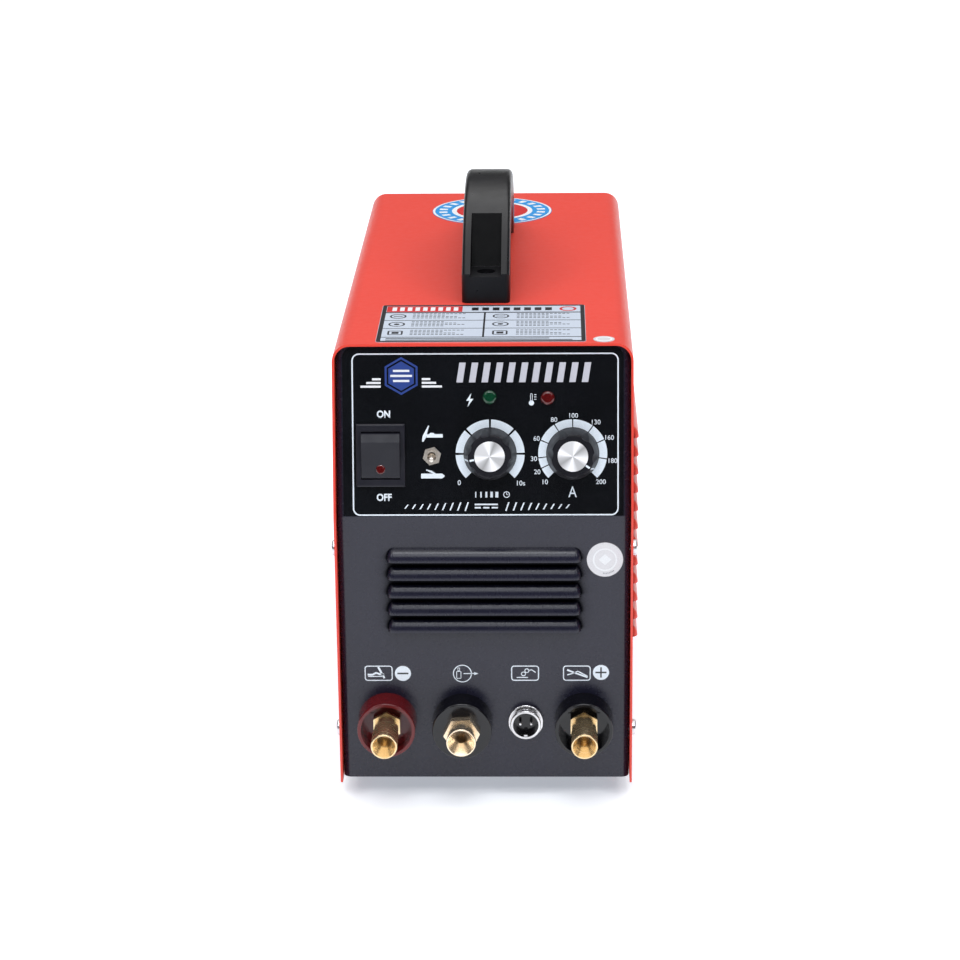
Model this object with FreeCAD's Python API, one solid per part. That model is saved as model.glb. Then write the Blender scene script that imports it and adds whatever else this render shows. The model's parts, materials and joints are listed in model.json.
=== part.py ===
import FreeCAD, Part
import math
import os
from FreeCAD import Vector

# Portable inverter TIG welding machine, millimetres.
# +X is to the right as seen from the front, +Y towards the rear, +Z up.
# The origin is under the middle of the whole length, on the surface the feet stand on.

# ---------------------------------------------------------------- driving dimensions
CASE_WIDTH = 155.0          # over the cover's side faces
CASE_DEPTH = 372.0          # cover, front edge to rear edge
CASE_HEIGHT = 237.0         # cover, lower edge to top face
SHEET = 1.2                 # steel sheet
CORNER_RADIUS = 9.0         # outside of the cover's top bends
KINK_HEIGHT = 148.4         # where the front starts to lean back, above the cover's lower edge
LEAN_DEG = 11.66            # lean of the control panel
PANEL_RECESS = 4.0          # front and rear panels behind the cover's edges
FIT_GAP = 0.3               # cover to panels
RIM_Z = 10.0                # cover's lower edge above the ground
FLANGE = 22.0               # depth of the panels' folded flanges
BEND_RADIUS = 4.0           # outside of the panels' vertical bends

STUD_REACH = 31.5           # terminal studs ahead of the cover's front edge
REAR_REACH = 24.5           # gas inlet behind the cover's rear edge

LOUVRE_RISE = 5.0           # pressed louvre: part of a cylinder that stands this far out of the face
LOUVRE_END_RADIUS = 3.6
LOUVRE_SLOT_DROP = 1.4      # slot below the lip
FRONT_LOUVRE_RADIUS = 7.2
SIDE_LOUVRE_RADIUS = 8.0
FRONT_LOUVRES = 5
FRONT_LOUVRE_HALF = 50.5
FRONT_LOUVRE_PITCH = 9.7
FRONT_LOUVRE_TOP_LIP = 124.5   # above the cover's lower edge
SIDE_LOUVRES = 12
SIDE_LOUVRE_PITCH = 10.45
SIDE_LOUVRE_TOP_LIP = 166.5
SIDE_LOUVRE_START = 80.0    # behind the cover's front edge
SIDE_LOUVRE_LENGTH = 150.0

TERMINAL_X = 52.0
TERMINAL_HEIGHT = 34.2      # above the cover's lower edge
CUP_RADIUS = 15.6
CUP_LENGTH = 14.5
CUP_WALL = 2.2
CUP_FLOOR = 4.5
STUD_RADIUS = 6.87
STUD_LENGTH = 16.0          # full-diameter part, from the tip
STUD_THREAD_RADIUS = 5.0
GAS_X = -12.2
GAS_BODY_RADIUS = 16.0
GAS_BODY_LENGTH = 13.7
GAS_BORE_RADIUS = 2.65
SOCKET_X = 21.3
SOCKET_HEIGHT = 34.2
SOCKET_FLANGE_RADIUS = 9.35
SOCKET_FLANGE_THICK = 2.6
SOCKET_RADIUS = 8.1
SOCKET_REACH = 7.1
OUTLET_HEIGHT = 33.4

HANDLE_FRONT = 100.0        # behind the cover's front edge
HANDLE_LENGTH = 190.0
HANDLE_WIDTH = 26.0
HANDLE_CREST = 50.0
HANDLE_ARC_RADIUS = 150.0
HANDLE_FOOT = 28.0          # length of each foot on the cover
FINGER_CREST = 31.0         # highest point of the finger gap
POCKET_WIDTH = 16.5
POCKET_LEDGE = 14.5
POCKET_FLOOR = 24.0
HANDLE_COUNTERBORE = 5.0    # screw heads sunk below the ledge
HANDLE_SCREW_HEAD = 4.6

# Controls, placed on the leaning panel as (x, distance up the slope from the kink).
ROCKER_AT = (-52.9, 32.0)
ROCKER_BEZEL = (25.3, 32.7)
ROCKER_SIZE = (19.9, 23.4)
TOGGLE_AT = (-26.4, 31.6)
GAS_DIAL_AT = (3.6, 32.6)
CURRENT_DIAL_AT = (46.2, 32.6)
GREEN_LAMP_AT = (3.5, 62.0)
RED_LAMP_AT = (33.4, 61.5)
OVERLAY_THICK = 0.35

FAN_SIZE = 92.0
FAN_DEPTH = 25.0
FAN_RADIUS = 43.5
FAN_HEIGHT = 128.0          # fan centre above the cover's lower edge
GLAND_AT = (-46.0, 40.0)    # on the rear panel: x, height above the cover's lower edge
GAS_INLET_AT = (46.0, 20.0)
EARTH_AT = (0.0, 32.0)

SCREW_CLEAR = 0.05          # radial clearance of a screw in its hole

ROCKER_BODY = (22.0, 30.0)  # switch body in its panel hole
TOGGLE_BUSH_RADIUS = 2.9
POT_BUSH_RADIUS = 3.4
LAMP_STEM_RADIUS = 2.5
GAS_STEM_RADIUS = 5.0
SOCKET_NECK_RADIUS = 7.9
GLAND_THREAD_RADIUS = 9.5
INLET_THREAD_RADIUS = 6.0
FAN_SCREW_PITCH = 82.5
TRAY_WALL = 18.0
FOOT_RECESS = 4.0

BEZEL_THICK = 2.2
ROCKER_PIVOT = 1.0          # pivot behind the panel's face
ROCKER_PIN_RADIUS = 1.4
LENS_DROP = -7.1
TOGGLE_BUSH_FRONT = -4.2
TOGGLE_PIVOT = -1.2
TOGGLE_TILT_DEG = 8.5
TOGGLE_LENGTH = 7.5         # pivot to the middle of the tip
TOGGLE_BALL_RADIUS = 1.8
TOGGLE_PIN_RADIUS = 0.6
POT_BUSH_FRONT = -4.5
SPINDLE_RADIUS = 3.0
KNOB_LENGTH = 14.5
KNOB_BASE_RADIUS = 13.5
KNOB_FACE_RADIUS = 11.0
KNOB_CAP_RADIUS = 7.8
KNOB_LOBES = 6
LOBE_GAP_PLACE = 16.0       # axis of a hollow between two lobes, from the knob's axis
LOBE_GAP_RADIUS = 6.0       # at the face; it runs out at the base
LOBE_GAP_BASE_RADIUS = 2.4
GAS_POINTER_DEG = 191.8     # pointer at rest, from +X as seen from the front
CURRENT_POINTER_DEG = -35.0
LAMP_RADIUS = 3.6

STUD_BORE_RADIUS = 2.25
STUD_BORE_LENGTH = 8.0
GAS_MOUTH_RADIUS = 7.7
GAS_COLLAR_RADIUS = 7.4
SOCKET_BORE_RADIUS = 6.75
SOCKET_INSERT_DEPTH = 5.6   # insert's face behind the barrel's rim
SOCKET_PIN_PITCH = 5.8
SOCKET_PIN_RADIUS = 0.8
FAN_AXLE_RADIUS = 2.0
FAN_BLADES = 7
GLAND_BORE_RADIUS = 5.5
INLET_BARB_RADIUS = 4.6
INLET_BORE_RADIUS = 2.0
EARTH_RADIUS = 2.5
EARTH_REACH = 12.0
HOSE_RADIUS = 5.0
HOSE_BORE_RADIUS = 3.0
LABEL_THICK = 0.25

BOARD_FRONT = -110.0        # main board, along the case
BOARD_REAR = 128.0
BOARD_Z = 40.0
BOARD_THICK = 1.6
BOARD_POSTS = [(x, y) for y in (-104.0, 120.0) for x in (-56.0, 56.0)]
CONTROL_BOARD_Y = 15.5      # control board behind the leaning panel's face
HEAT_SINK_SPAN = (-42.0, 72.0)
CORE_SPAN = (-103.0, -59.0)
VALVE_SPAN = (134.0, 152.0)
PLUNGER_RADIUS = 3.4

# ---------------------------------------------------------------- derived places
OVERALL = STUD_REACH + CASE_DEPTH + REAR_REACH
FRONT_Y = -OVERALL / 2 + STUD_REACH
REAR_Y = FRONT_Y + CASE_DEPTH
TOP_Z = RIM_Z + CASE_HEIGHT
HALF = CASE_WIDTH / 2
INNER_HALF = HALF - SHEET
PANEL_HALF = INNER_HALF - FIT_GAP
PANEL_Y = FRONT_Y + PANEL_RECESS
REAR_PANEL_Y = REAR_Y - PANEL_RECESS
FLANGE_Z = RIM_Z + 1.5      # underside of the panels' bottom flanges
TRAY_Z = FLANGE_Z + SHEET
PANEL_TOP_Z = TOP_Z - SHEET - FIT_GAP
KINK_Z = RIM_Z + KINK_HEIGHT
LEAN = math.radians(LEAN_DEG)
UP = Vector(0, 0, 1)
BACK = Vector(0, 1, 0)
RIGHT = Vector(1, 0, 0)


# ---------------------------------------------------------------- helpers
def box(x0, x1, y0, y1, z0, z1):
    """An upright box between two corners."""
    return Part.makeBox(x1 - x0, y1 - y0, z1 - z0, Vector(x0, y0, z0))


def rod(radius, start, end):
    """A round bar from one point to another."""
    along = end - start
    return Part.makeCylinder(radius, along.Length, start, along)


def cone(radius_start, radius_end, start, end):
    """A tapered round bar from one point to another."""
    along = end - start
    return Part.makeCone(radius_start, radius_end, along.Length, start, along)


def pipe(outer, inner, start, end):
    """A round tube with square ends."""
    return rod(outer, start, end).cut(rod(inner, start, end))


def prism(points, along):
    """A straight prism on a closed polygon."""
    wire = Part.makePolygon(points + [points[0]])
    return Part.Face(wire).extrude(along)


def hex_bar(across_flats, start, end, first_corner_deg=0.0):
    """A hexagonal bar along Y. Corners are counted from +X."""
    radius = across_flats / math.sqrt(3)
    points = []
    for corner in range(6):
        angle = math.radians(first_corner_deg + 60 * corner)
        points.append(Vector(start.x + radius * math.cos(angle), start.y, start.z + radius * math.sin(angle)))
    return prism(points, end - start)


def fuse(shapes):
    """One solid from overlapping or touching shapes."""
    whole = shapes[0]
    for shape in shapes[1:]:
        whole = whole.fuse(shape)
    return whole.removeSplitter()


def moved(shape, x=0.0, y=0.0, z=0.0):
    """A shifted copy."""
    copy = shape.copy()
    copy.translate(Vector(x, y, z))
    return copy


def mirrored(shape):
    """A copy on the other side of the case's middle plane."""
    return shape.mirror(Vector(0, 0, 0), RIGHT)


def on_slope(shape):
    """Place a shape drawn with y = 0 as the control panel's face and z up its slope from the kink."""
    placed = shape.copy()
    placed.rotate(Vector(0, 0, 0), RIGHT, -LEAN_DEG)
    placed.translate(Vector(0, PANEL_Y, KINK_Z))
    return placed


def round_edges(solid, radius, wanted):
    """Round the edges that a test picks."""
    return solid.makeFillet(radius, [edge for edge in solid.Edges if wanted(edge)])


def screw(radius, length, head_radius, head_height, seat, direction):
    """A pan-head screw. seat is where the head's underside rests, direction the way the shank points."""
    shank = rod(radius, seat, seat + direction * length)
    head = rod(head_radius, seat - direction * head_height, seat)
    crown = seat - direction * head_height
    head = round_edges(head, head_height * 0.45, lambda edge: is_circle_at(edge, crown))
    slot = Part.makeBox(head_radius * 1.2, head_height * 0.3, head_height * 0.9)
    slot.translate(Vector(-head_radius * 0.6, -head_height * 0.15, -head_height * 0.45))
    cross = slot.fuse(slot.copy().rotate(Vector(0, 0, 0), UP, 90))
    cross.Placement = FreeCAD.Placement(seat - direction * head_height, FreeCAD.Rotation(UP, direction))
    return shank.fuse(head).removeSplitter().cut(cross)


def is_circle_at(edge, centre):
    """Whether an edge is a circle about a point."""
    curve = edge.Curve
    return isinstance(curve, Part.Circle) and curve.Center.distanceToPoint(centre) < 1e-4


def write(name, *solids):
    """Write one named piece, or a group of separate identical pieces."""
    shape = solids[0] if len(solids) == 1 else Part.makeCompound(list(solids))
    shape.exportStep(f"parts/{name}.step")


def louvre_tools(radius, axis_start, axis_end, outward):
    """Outer and inner pressing tools of one louvre whose lip lies at the axis's height."""
    along = axis_end - axis_start
    unit = Vector(along).normalize()
    depth = Vector(outward) * (radius - LOUVRE_RISE)
    tools = []
    for inset in (0.0, SHEET):
        start = axis_start - depth + unit * inset
        end = axis_end - depth - unit * inset
        bar = rod(radius - inset, start, end)
        ends = (start, end)

        def at_end(edge):
            return any(is_circle_at(edge, centre) for centre in ends)

        bar = round_edges(bar, LOUVRE_END_RADIUS - inset, at_end)
        tools.append(bar)
    return tools


def press_louvre(wall, radius, axis_start, axis_end, outward):
    """Press one louvre, open along its lower lip, into a flat wall."""
    outer, inner = louvre_tools(radius, axis_start, axis_end, outward)
    middle = (axis_start + axis_end) * 0.5
    reach = (axis_end - axis_start).Length
    above = Part.makeBox(2 * reach, 2 * reach, radius * 2)
    above.translate(Vector(middle.x - reach, middle.y - reach, middle.z))
    behind = Part.makeBox(2 * reach, 2 * reach, 8 * radius)
    behind.translate(Vector(-reach, -reach, -4 * radius))
    shift = Vector(outward) * (-reach - SHEET)
    behind.translate(middle + shift)
    slot_low = inner.common(moved(above, z=-LOUVRE_SLOT_DROP))
    hood = outer.common(above).cut(inner).cut(behind)
    return wall.cut(slot_low).fuse(hood)


# ---------------------------------------------------------------- case
def rounded_tunnel(half, low, high, radius, y0, y1):
    """A solid along Y with rounded top corners."""
    corner = radius * (1 - math.sqrt(0.5))
    left_mid = Vector(-half + corner, y0, high - corner)
    right_mid = Vector(half - corner, y0, high - corner)
    edges = [
        Part.LineSegment(Vector(-half, y0, low), Vector(-half, y0, high - radius)).toShape(),
        Part.Arc(Vector(-half, y0, high - radius), left_mid, Vector(-half + radius, y0, high)).toShape(),
        Part.LineSegment(Vector(-half + radius, y0, high), Vector(half - radius, y0, high)).toShape(),
        Part.Arc(Vector(half - radius, y0, high), right_mid, Vector(half, y0, high - radius)).toShape(),
        Part.LineSegment(Vector(half, y0, high - radius), Vector(half, y0, low)).toShape(),
        Part.LineSegment(Vector(half, y0, low), Vector(-half, y0, low)).toShape(),
    ]
    return Part.Face(Part.Wire(edges)).extrude(Vector(0, y1 - y0, 0))


def side_screw_places():
    """Seats of the cover screws on the right side: (y, z)."""
    setback = 15.0
    rows = (RIM_Z + 127.4, RIM_Z + 25.5)
    return [(y, z) for y in (FRONT_Y + setback, REAR_Y - setback) for z in rows]


def handle_screw_places():
    """The two handle screws' places along the case."""
    inset = POCKET_FLOOR / 2 + 1.0
    return (FRONT_Y + HANDLE_FRONT + inset, FRONT_Y + HANDLE_FRONT + HANDLE_LENGTH - inset)


def make_cover():
    """The U-shaped cover with pressed louvres on both sides and a front edge that follows the panel."""
    outer = rounded_tunnel(HALF, RIM_Z, TOP_Z, CORNER_RADIUS, FRONT_Y, REAR_Y)
    inner_radius = CORNER_RADIUS - SHEET
    hollow = rounded_tunnel(INNER_HALF, RIM_Z - 1, TOP_Z - SHEET, inner_radius, FRONT_Y - 1, REAR_Y + 1)
    cover = outer.cut(hollow)
    run = CASE_HEIGHT - KINK_HEIGHT + 10.0
    wedge = prism([
        Vector(-CASE_WIDTH, FRONT_Y, KINK_Z),
        Vector(-CASE_WIDTH, FRONT_Y + run * math.tan(LEAN), KINK_Z + run),
        Vector(-CASE_WIDTH, FRONT_Y - 5, KINK_Z + run),
        Vector(-CASE_WIDTH, FRONT_Y - 5, KINK_Z),
    ], Vector(2 * CASE_WIDTH, 0, 0))
    cover = cover.cut(wedge)
    for side in (-1, 1):
        outward = Vector(side, 0, 0)
        for row in range(SIDE_LOUVRES):
            lip = RIM_Z + SIDE_LOUVRE_TOP_LIP - row * SIDE_LOUVRE_PITCH
            start = Vector(side * HALF, FRONT_Y + SIDE_LOUVRE_START, lip)
            cover = press_louvre(cover, SIDE_LOUVRE_RADIUS, start, start + BACK * SIDE_LOUVRE_LENGTH, outward)
        for y, z in side_screw_places():
            inside, outside = (Vector(side * (HALF + step), y, z) for step in (-5, 5))
            cover = cover.cut(rod(2.0 + SCREW_CLEAR, inside, outside))
    for y in handle_screw_places():
        cover = cover.cut(rod(2.5 + SCREW_CLEAR, Vector(0, y, TOP_Z - 5), Vector(0, y, TOP_Z + 5)))
    return cover


def channel(length):
    """An upright U channel: a face at y = 0 with round bends into two flanges, height along Z."""
    outer = box(-PANEL_HALF, PANEL_HALF, 0, 2 * FLANGE, 0, length)
    inner = box(-PANEL_HALF + SHEET, PANEL_HALF - SHEET, SHEET, 2 * FLANGE + 1, 0, length)

    def front_corner(edge, depth):
        low, high = edge.Vertexes[0].Point, edge.Vertexes[-1].Point
        return abs(low.y - depth) < 1e-6 and abs(high.y - depth) < 1e-6 and abs(low.z - high.z) > length / 2

    outer = round_edges(outer, BEND_RADIUS, lambda edge: front_corner(edge, 0))
    inner = round_edges(inner, BEND_RADIUS - SHEET, lambda edge: front_corner(edge, SHEET))
    return outer.cut(inner)


def panel_void():
    """The space inside the cover that the panels fit."""
    radius = CORNER_RADIUS - SHEET - FIT_GAP
    return rounded_tunnel(PANEL_HALF, FLANGE_Z, PANEL_TOP_Z, radius, FRONT_Y, REAR_Y)


def screw_holes_for_panel(panel):
    """Side screw holes through the panel flanges, and bottom flange holes."""
    for y, z in side_screw_places():
        panel = panel.cut(rod(2.0 + SCREW_CLEAR, Vector(-HALF, y, z), Vector(HALF, y, z)))
    for x, y in flange_screw_places():
        panel = panel.cut(rod(2.0 + SCREW_CLEAR, Vector(x, y, FLANGE_Z - 5), Vector(x, y, FLANGE_Z + 5)))
    return panel


def flange_screw_places():
    """Screws under the two bottom flanges: (x, y)."""
    behind = 7.0
    rows = (PANEL_Y + behind, REAR_PANEL_Y - behind)
    return [(x, y) for y in rows for x in (-60.8, 0.0, 60.8)]


def make_front_panel():
    """Bent front panel: upright lower part with louvres, leaning control part, folded flanges all round."""
    mitre_turn = -LEAN_DEG / 2
    big = 400.0
    half_space = box(-big, big, -big, big, 0, 2 * big)
    half_space.rotate(Vector(0, 0, 0), RIGHT, mitre_turn)
    above = moved(half_space, y=PANEL_Y, z=KINK_Z)
    lower = moved(channel(KINK_Z - FLANGE_Z + 10), y=PANEL_Y, z=FLANGE_Z).cut(above)
    upper = on_slope(moved(channel(120.0), z=-10.0)).common(above)
    panel = lower.fuse(upper)
    keep_back = prism([
        Vector(-big, PANEL_Y - 1, 0),
        Vector(-big, PANEL_Y + FLANGE, 0),
        Vector(-big, PANEL_Y + FLANGE, KINK_Z),
        Vector(-big, PANEL_Y + FLANGE + 120 * math.tan(LEAN), KINK_Z + 120),
        Vector(-big, PANEL_Y - 1, KINK_Z + 120),
    ], Vector(2 * big, 0, 0))
    top_y = PANEL_Y + (PANEL_TOP_Z - KINK_Z) * math.tan(LEAN)
    width = PANEL_HALF - BEND_RADIUS - SHEET
    bottom_flange = box(-width, width, PANEL_Y + SHEET / 2, PANEL_Y + FLANGE, FLANGE_Z, FLANGE_Z + SHEET)
    top_width = width - CORNER_RADIUS / 2
    top_flange = box(-top_width, top_width, top_y, top_y + FLANGE, PANEL_TOP_Z - SHEET, PANEL_TOP_Z)
    panel = fuse([panel, bottom_flange, top_flange]).common(panel_void()).common(keep_back)
    for row in range(FRONT_LOUVRES):
        lip = RIM_Z + FRONT_LOUVRE_TOP_LIP - row * FRONT_LOUVRE_PITCH
        start = Vector(-FRONT_LOUVRE_HALF, PANEL_Y, lip)
        end = start + RIGHT * (2 * FRONT_LOUVRE_HALF)
        panel = press_louvre(panel, FRONT_LOUVRE_RADIUS, start, end, Vector(0, -1, 0))
    for hole in front_holes():
        panel = panel.cut(hole)
    return screw_holes_for_panel(panel)


def through_y(x, z, radius):
    """A hole tool through the upright panel."""
    return rod(radius, Vector(x, PANEL_Y - 10, z), Vector(x, PANEL_Y + 10, z))


def slope_hole(place, radius):
    """A hole tool through the leaning panel."""
    x, s = place
    return on_slope(rod(radius, Vector(x, -5, s), Vector(x, 10, s)))


def front_holes():
    """Tools for every hole in the front panel."""
    terminal_z = RIM_Z + TERMINAL_HEIGHT
    outlet_z = RIM_Z + OUTLET_HEIGHT
    holes = [through_y(side * TERMINAL_X, terminal_z, STUD_THREAD_RADIUS + 3.0) for side in (-1, 1)]
    holes.append(through_y(GAS_X, outlet_z, GAS_STEM_RADIUS + 0.3))
    holes.append(through_y(SOCKET_X, RIM_Z + SOCKET_HEIGHT, SOCKET_NECK_RADIUS + 0.2))
    return holes + control_holes(0.0)


def control_holes(margin):
    """Tools for the holes of the controls, each grown by a margin."""
    x, s = ROCKER_AT
    half_x = ROCKER_BODY[0] / 2 + 0.2 + margin
    half_s = ROCKER_BODY[1] / 2 + 0.2 + margin
    holes = [on_slope(box(x - half_x, x + half_x, -5, 10, s - half_s, s + half_s))]
    holes.append(slope_hole(TOGGLE_AT, TOGGLE_BUSH_RADIUS + 0.1 + margin))
    for place in (GAS_DIAL_AT, CURRENT_DIAL_AT):
        holes.append(slope_hole(place, POT_BUSH_RADIUS + 0.1 + margin))
    for place in (GREEN_LAMP_AT, RED_LAMP_AT):
        holes.append(slope_hole(place, LAMP_STEM_RADIUS + 0.1 + margin))
    return holes


def make_overlay():
    """Printed film over the leaning part of the front panel, down to just below the kink."""
    edge = 3.6
    height = (PANEL_TOP_Z - KINK_Z) / math.cos(LEAN)
    film = box(-PANEL_HALF + edge, PANEL_HALF - edge, -OVERLAY_THICK, 0, 0.4, height - 0.8)
    top_corners = CORNER_RADIUS - SHEET - FIT_GAP - edge + 2.0

    def top_corner(edge_shape):
        ends = [vertex.Point for vertex in edge_shape.Vertexes]
        at_top = all(point.z > height - 2 for point in ends)
        same_x = abs(ends[0].x - ends[-1].x) < 1e-6
        return at_top and same_x and abs(ends[0].y - ends[-1].y) > OVERLAY_THICK / 2

    film = on_slope(round_edges(film, top_corners, top_corner))
    for hole in control_holes(0.15):
        film = film.cut(hole)
    return film


def make_rear_panel():
    """Flat rear panel with flanges folded forward, a fan opening and holes for the inlets."""
    height = PANEL_TOP_Z - FLANGE_Z
    panel = channel(height)
    panel.rotate(Vector(0, 0, 0), UP, 180)
    panel = moved(panel, y=REAR_PANEL_Y, z=FLANGE_Z)
    width = PANEL_HALF - BEND_RADIUS - SHEET
    low = box(-width, width, REAR_PANEL_Y - FLANGE, REAR_PANEL_Y - SHEET / 2, FLANGE_Z, FLANGE_Z + SHEET)
    top_width = width - CORNER_RADIUS / 2
    top = box(-top_width, top_width, REAR_PANEL_Y - FLANGE, REAR_PANEL_Y - SHEET / 2,
              PANEL_TOP_Z - SHEET, PANEL_TOP_Z)
    keep = box(-HALF, HALF, REAR_PANEL_Y - FLANGE, REAR_PANEL_Y + 1, 0, TOP_Z)
    panel = fuse([panel, low, top]).common(panel_void()).common(keep)
    fan_z = RIM_Z + FAN_HEIGHT
    panel = panel.cut(rear_hole(0.0, fan_z, FAN_RADIUS))
    for x, z in fan_screw_places():
        panel = panel.cut(rear_hole(x, z, 2.0 + SCREW_CLEAR))
    holes = ((GLAND_AT, GLAND_THREAD_RADIUS), (GAS_INLET_AT, INLET_THREAD_RADIUS), (EARTH_AT, 3.0))
    for place, radius in holes:
        panel = panel.cut(rear_hole(place[0], RIM_Z + place[1], radius + 0.1))
    return screw_holes_for_panel(panel)


def rear_hole(x, z, radius):
    """A hole tool through the rear panel."""
    return rod(radius, Vector(x, REAR_PANEL_Y - 10, z), Vector(x, REAR_PANEL_Y + 10, z))


def fan_screw_places():
    """The fan's four screws: (x, z)."""
    half_pitch = FAN_SCREW_PITCH / 2
    fan_z = RIM_Z + FAN_HEIGHT
    return [(sx * half_pitch, fan_z + sz * half_pitch) for sz in (-1, 1) for sx in (-1, 1)]


def foot_places():
    """The four feet: (x, y)."""
    side = 55.0
    return [(sx * side, y) for y in (FRONT_Y + 50, REAR_Y - 50) for sx in (-1, 1)]


def make_tray():
    """Base tray with side flanges between the panels' flanges."""
    gap = 0.3
    front = PANEL_Y + SHEET + gap
    rear = REAR_PANEL_Y - SHEET - gap
    tray = box(-PANEL_HALF + SHEET + gap, PANEL_HALF - SHEET - gap, front, rear, TRAY_Z, TRAY_Z + SHEET)
    tray = round_edges(tray, BEND_RADIUS - SHEET - gap, lambda edge: abs(edge.Length - SHEET) < 1e-6)
    wall_front = PANEL_Y + FLANGE + gap
    wall_rear = REAR_PANEL_Y - FLANGE - gap
    for side in (-1, 1):
        x0, x1 = sorted((side * (PANEL_HALF - SHEET - gap), side * (PANEL_HALF - 2 * SHEET - gap)))
        tray = tray.fuse(box(x0, x1, wall_front, wall_rear, TRAY_Z, TRAY_Z + TRAY_WALL))
    for x, y in flange_screw_places() + foot_places():
        tray = tray.cut(rod(2.0 + SCREW_CLEAR, Vector(x, y, TRAY_Z - 5), Vector(x, y, TRAY_Z + 5)))
    for x, y in BOARD_POSTS:
        tray = tray.cut(rod(1.5 + SCREW_CLEAR, Vector(x, y, TRAY_Z - 1), Vector(x, y, TRAY_Z + 5)))
    return tray.removeSplitter()


# ---------------------------------------------------------------- handle, feet and fasteners
def arc_height(radius, crest, from_middle):
    """Height of an arch at a distance from its middle."""
    return crest - radius + math.sqrt(radius ** 2 - from_middle ** 2)


def make_handle():
    """Arched carry handle with a screw pocket in each end."""
    middle = FRONT_Y + HANDLE_FRONT + HANDLE_LENGTH / 2
    half = HANDLE_LENGTH / 2
    inner_half = half - HANDLE_FOOT
    end_height = arc_height(HANDLE_ARC_RADIUS, HANDLE_CREST, half)
    x0 = -HANDLE_WIDTH / 2

    def at(y, h):
        return Vector(x0, middle + y, TOP_Z + h)

    outline = [
        Part.LineSegment(at(-inner_half, 0), at(-half, 0)).toShape(),
        Part.LineSegment(at(-half, 0), at(-half, end_height)).toShape(),
        Part.Arc(at(-half, end_height), at(0, HANDLE_CREST), at(half, end_height)).toShape(),
        Part.LineSegment(at(half, end_height), at(half, 0)).toShape(),
        Part.LineSegment(at(half, 0), at(inner_half, 0)).toShape(),
        Part.Arc(at(inner_half, 0), at(0, FINGER_CREST), at(-inner_half, 0)).toShape(),
    ]
    handle = Part.Face(Part.Wire(outline)).extrude(Vector(HANDLE_WIDTH, 0, 0))

    def side_edge(edge):
        xs = [vertex.Point.x for vertex in edge.Vertexes]
        on_side = abs(abs(xs[0]) - HANDLE_WIDTH / 2) < 1e-6 and abs(xs[0] - xs[-1]) < 1e-6
        return on_side and edge.BoundBox.ZMax > TOP_Z + 1

    handle = round_edges(handle, 3.2, side_edge)
    wall_lean = 20.5
    top = HANDLE_CREST + 5
    half_pocket = POCKET_WIDTH / 2
    mouth = middle - half - 1
    back_low = middle - half + POCKET_FLOOR
    back_high = back_low + wall_lean * top / (top - POCKET_LEDGE)
    pocket = prism([
        Vector(-half_pocket, mouth, TOP_Z + POCKET_LEDGE),
        Vector(-half_pocket, back_low, TOP_Z + POCKET_LEDGE),
        Vector(-half_pocket, back_high, TOP_Z + top),
        Vector(-half_pocket, mouth, TOP_Z + top),
    ], Vector(POCKET_WIDTH, 0, 0))
    handle = handle.cut(pocket).cut(pocket.mirror(Vector(0, middle, 0), BACK))
    seat_z = TOP_Z + POCKET_LEDGE - HANDLE_COUNTERBORE
    for y in handle_screw_places():
        bottom, seat, high = (Vector(0, y, z) for z in (TOP_Z - 1, seat_z, TOP_Z + POCKET_LEDGE + 1))
        handle = handle.cut(rod(2.5 + SCREW_CLEAR, bottom, high))
        handle = handle.cut(rod(HANDLE_SCREW_HEAD + 0.5, seat, high))
    return handle


def make_handle_screws():
    """Two M5 screws down through the handle's ledges and the cover."""
    height = POCKET_LEDGE - HANDLE_COUNTERBORE
    seats = [Vector(0, y, TOP_Z + height) for y in handle_screw_places()]
    return [screw(2.5, height + SHEET + 7, HANDLE_SCREW_HEAD, 3.2, seat, -UP) for seat in seats]


def make_handle_nuts():
    """Nuts on the handle screws, under the cover's top."""
    nuts = []
    for y in handle_screw_places():
        across = box(-4.0, 4.0, y - 4.0, y + 4.0, TOP_Z - SHEET - 4.0, TOP_Z - SHEET)
        corner_cut = rod(5.0, Vector(0, y, TOP_Z - SHEET - 4.0), Vector(0, y, TOP_Z - SHEET))
        hole = rod(2.5 + SCREW_CLEAR, Vector(0, y, TOP_Z - SHEET - 5.0), Vector(0, y, TOP_Z))
        nuts.append(across.common(corner_cut).cut(hole))
    return nuts


def make_cover_screws():
    """Pan-head screws through both sides of the cover into the panels' flanges."""
    screws = []
    for side in (-1, 1):
        for y, z in side_screw_places():
            screws.append(screw(2.0, 7.0, 4.2, 2.4, Vector(side * HALF, y, z), Vector(-side, 0, 0)))
    return screws


def make_flange_screws():
    """Low-headed screws up through the panels' bottom flanges into the tray."""
    return [screw(2.0, 6.0, 4.0, 1.4, Vector(x, y, FLANGE_Z), UP) for x, y in flange_screw_places()]


def make_feet():
    """Four rubber feet with recessed screw holes."""
    feet = []
    for x, y in foot_places():
        foot = cone(8.6, 10.5, Vector(x, y, 0), Vector(x, y, TRAY_Z))
        foot = round_edges(foot, 1.0, lambda edge: is_circle_at(edge, Vector(x, y, 0)))
        foot = foot.cut(rod(4.8, Vector(x, y, -1), Vector(x, y, FOOT_RECESS)))
        feet.append(foot.cut(rod(2.0 + SCREW_CLEAR, Vector(x, y, 0), Vector(x, y, TRAY_Z))))
    return feet


def make_foot_screws():
    """The feet's screws, heads up inside their recesses."""
    return [screw(2.0, 12.0, 3.8, 2.4, Vector(x, y, FOOT_RECESS), UP) for x, y in foot_places()]


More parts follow.
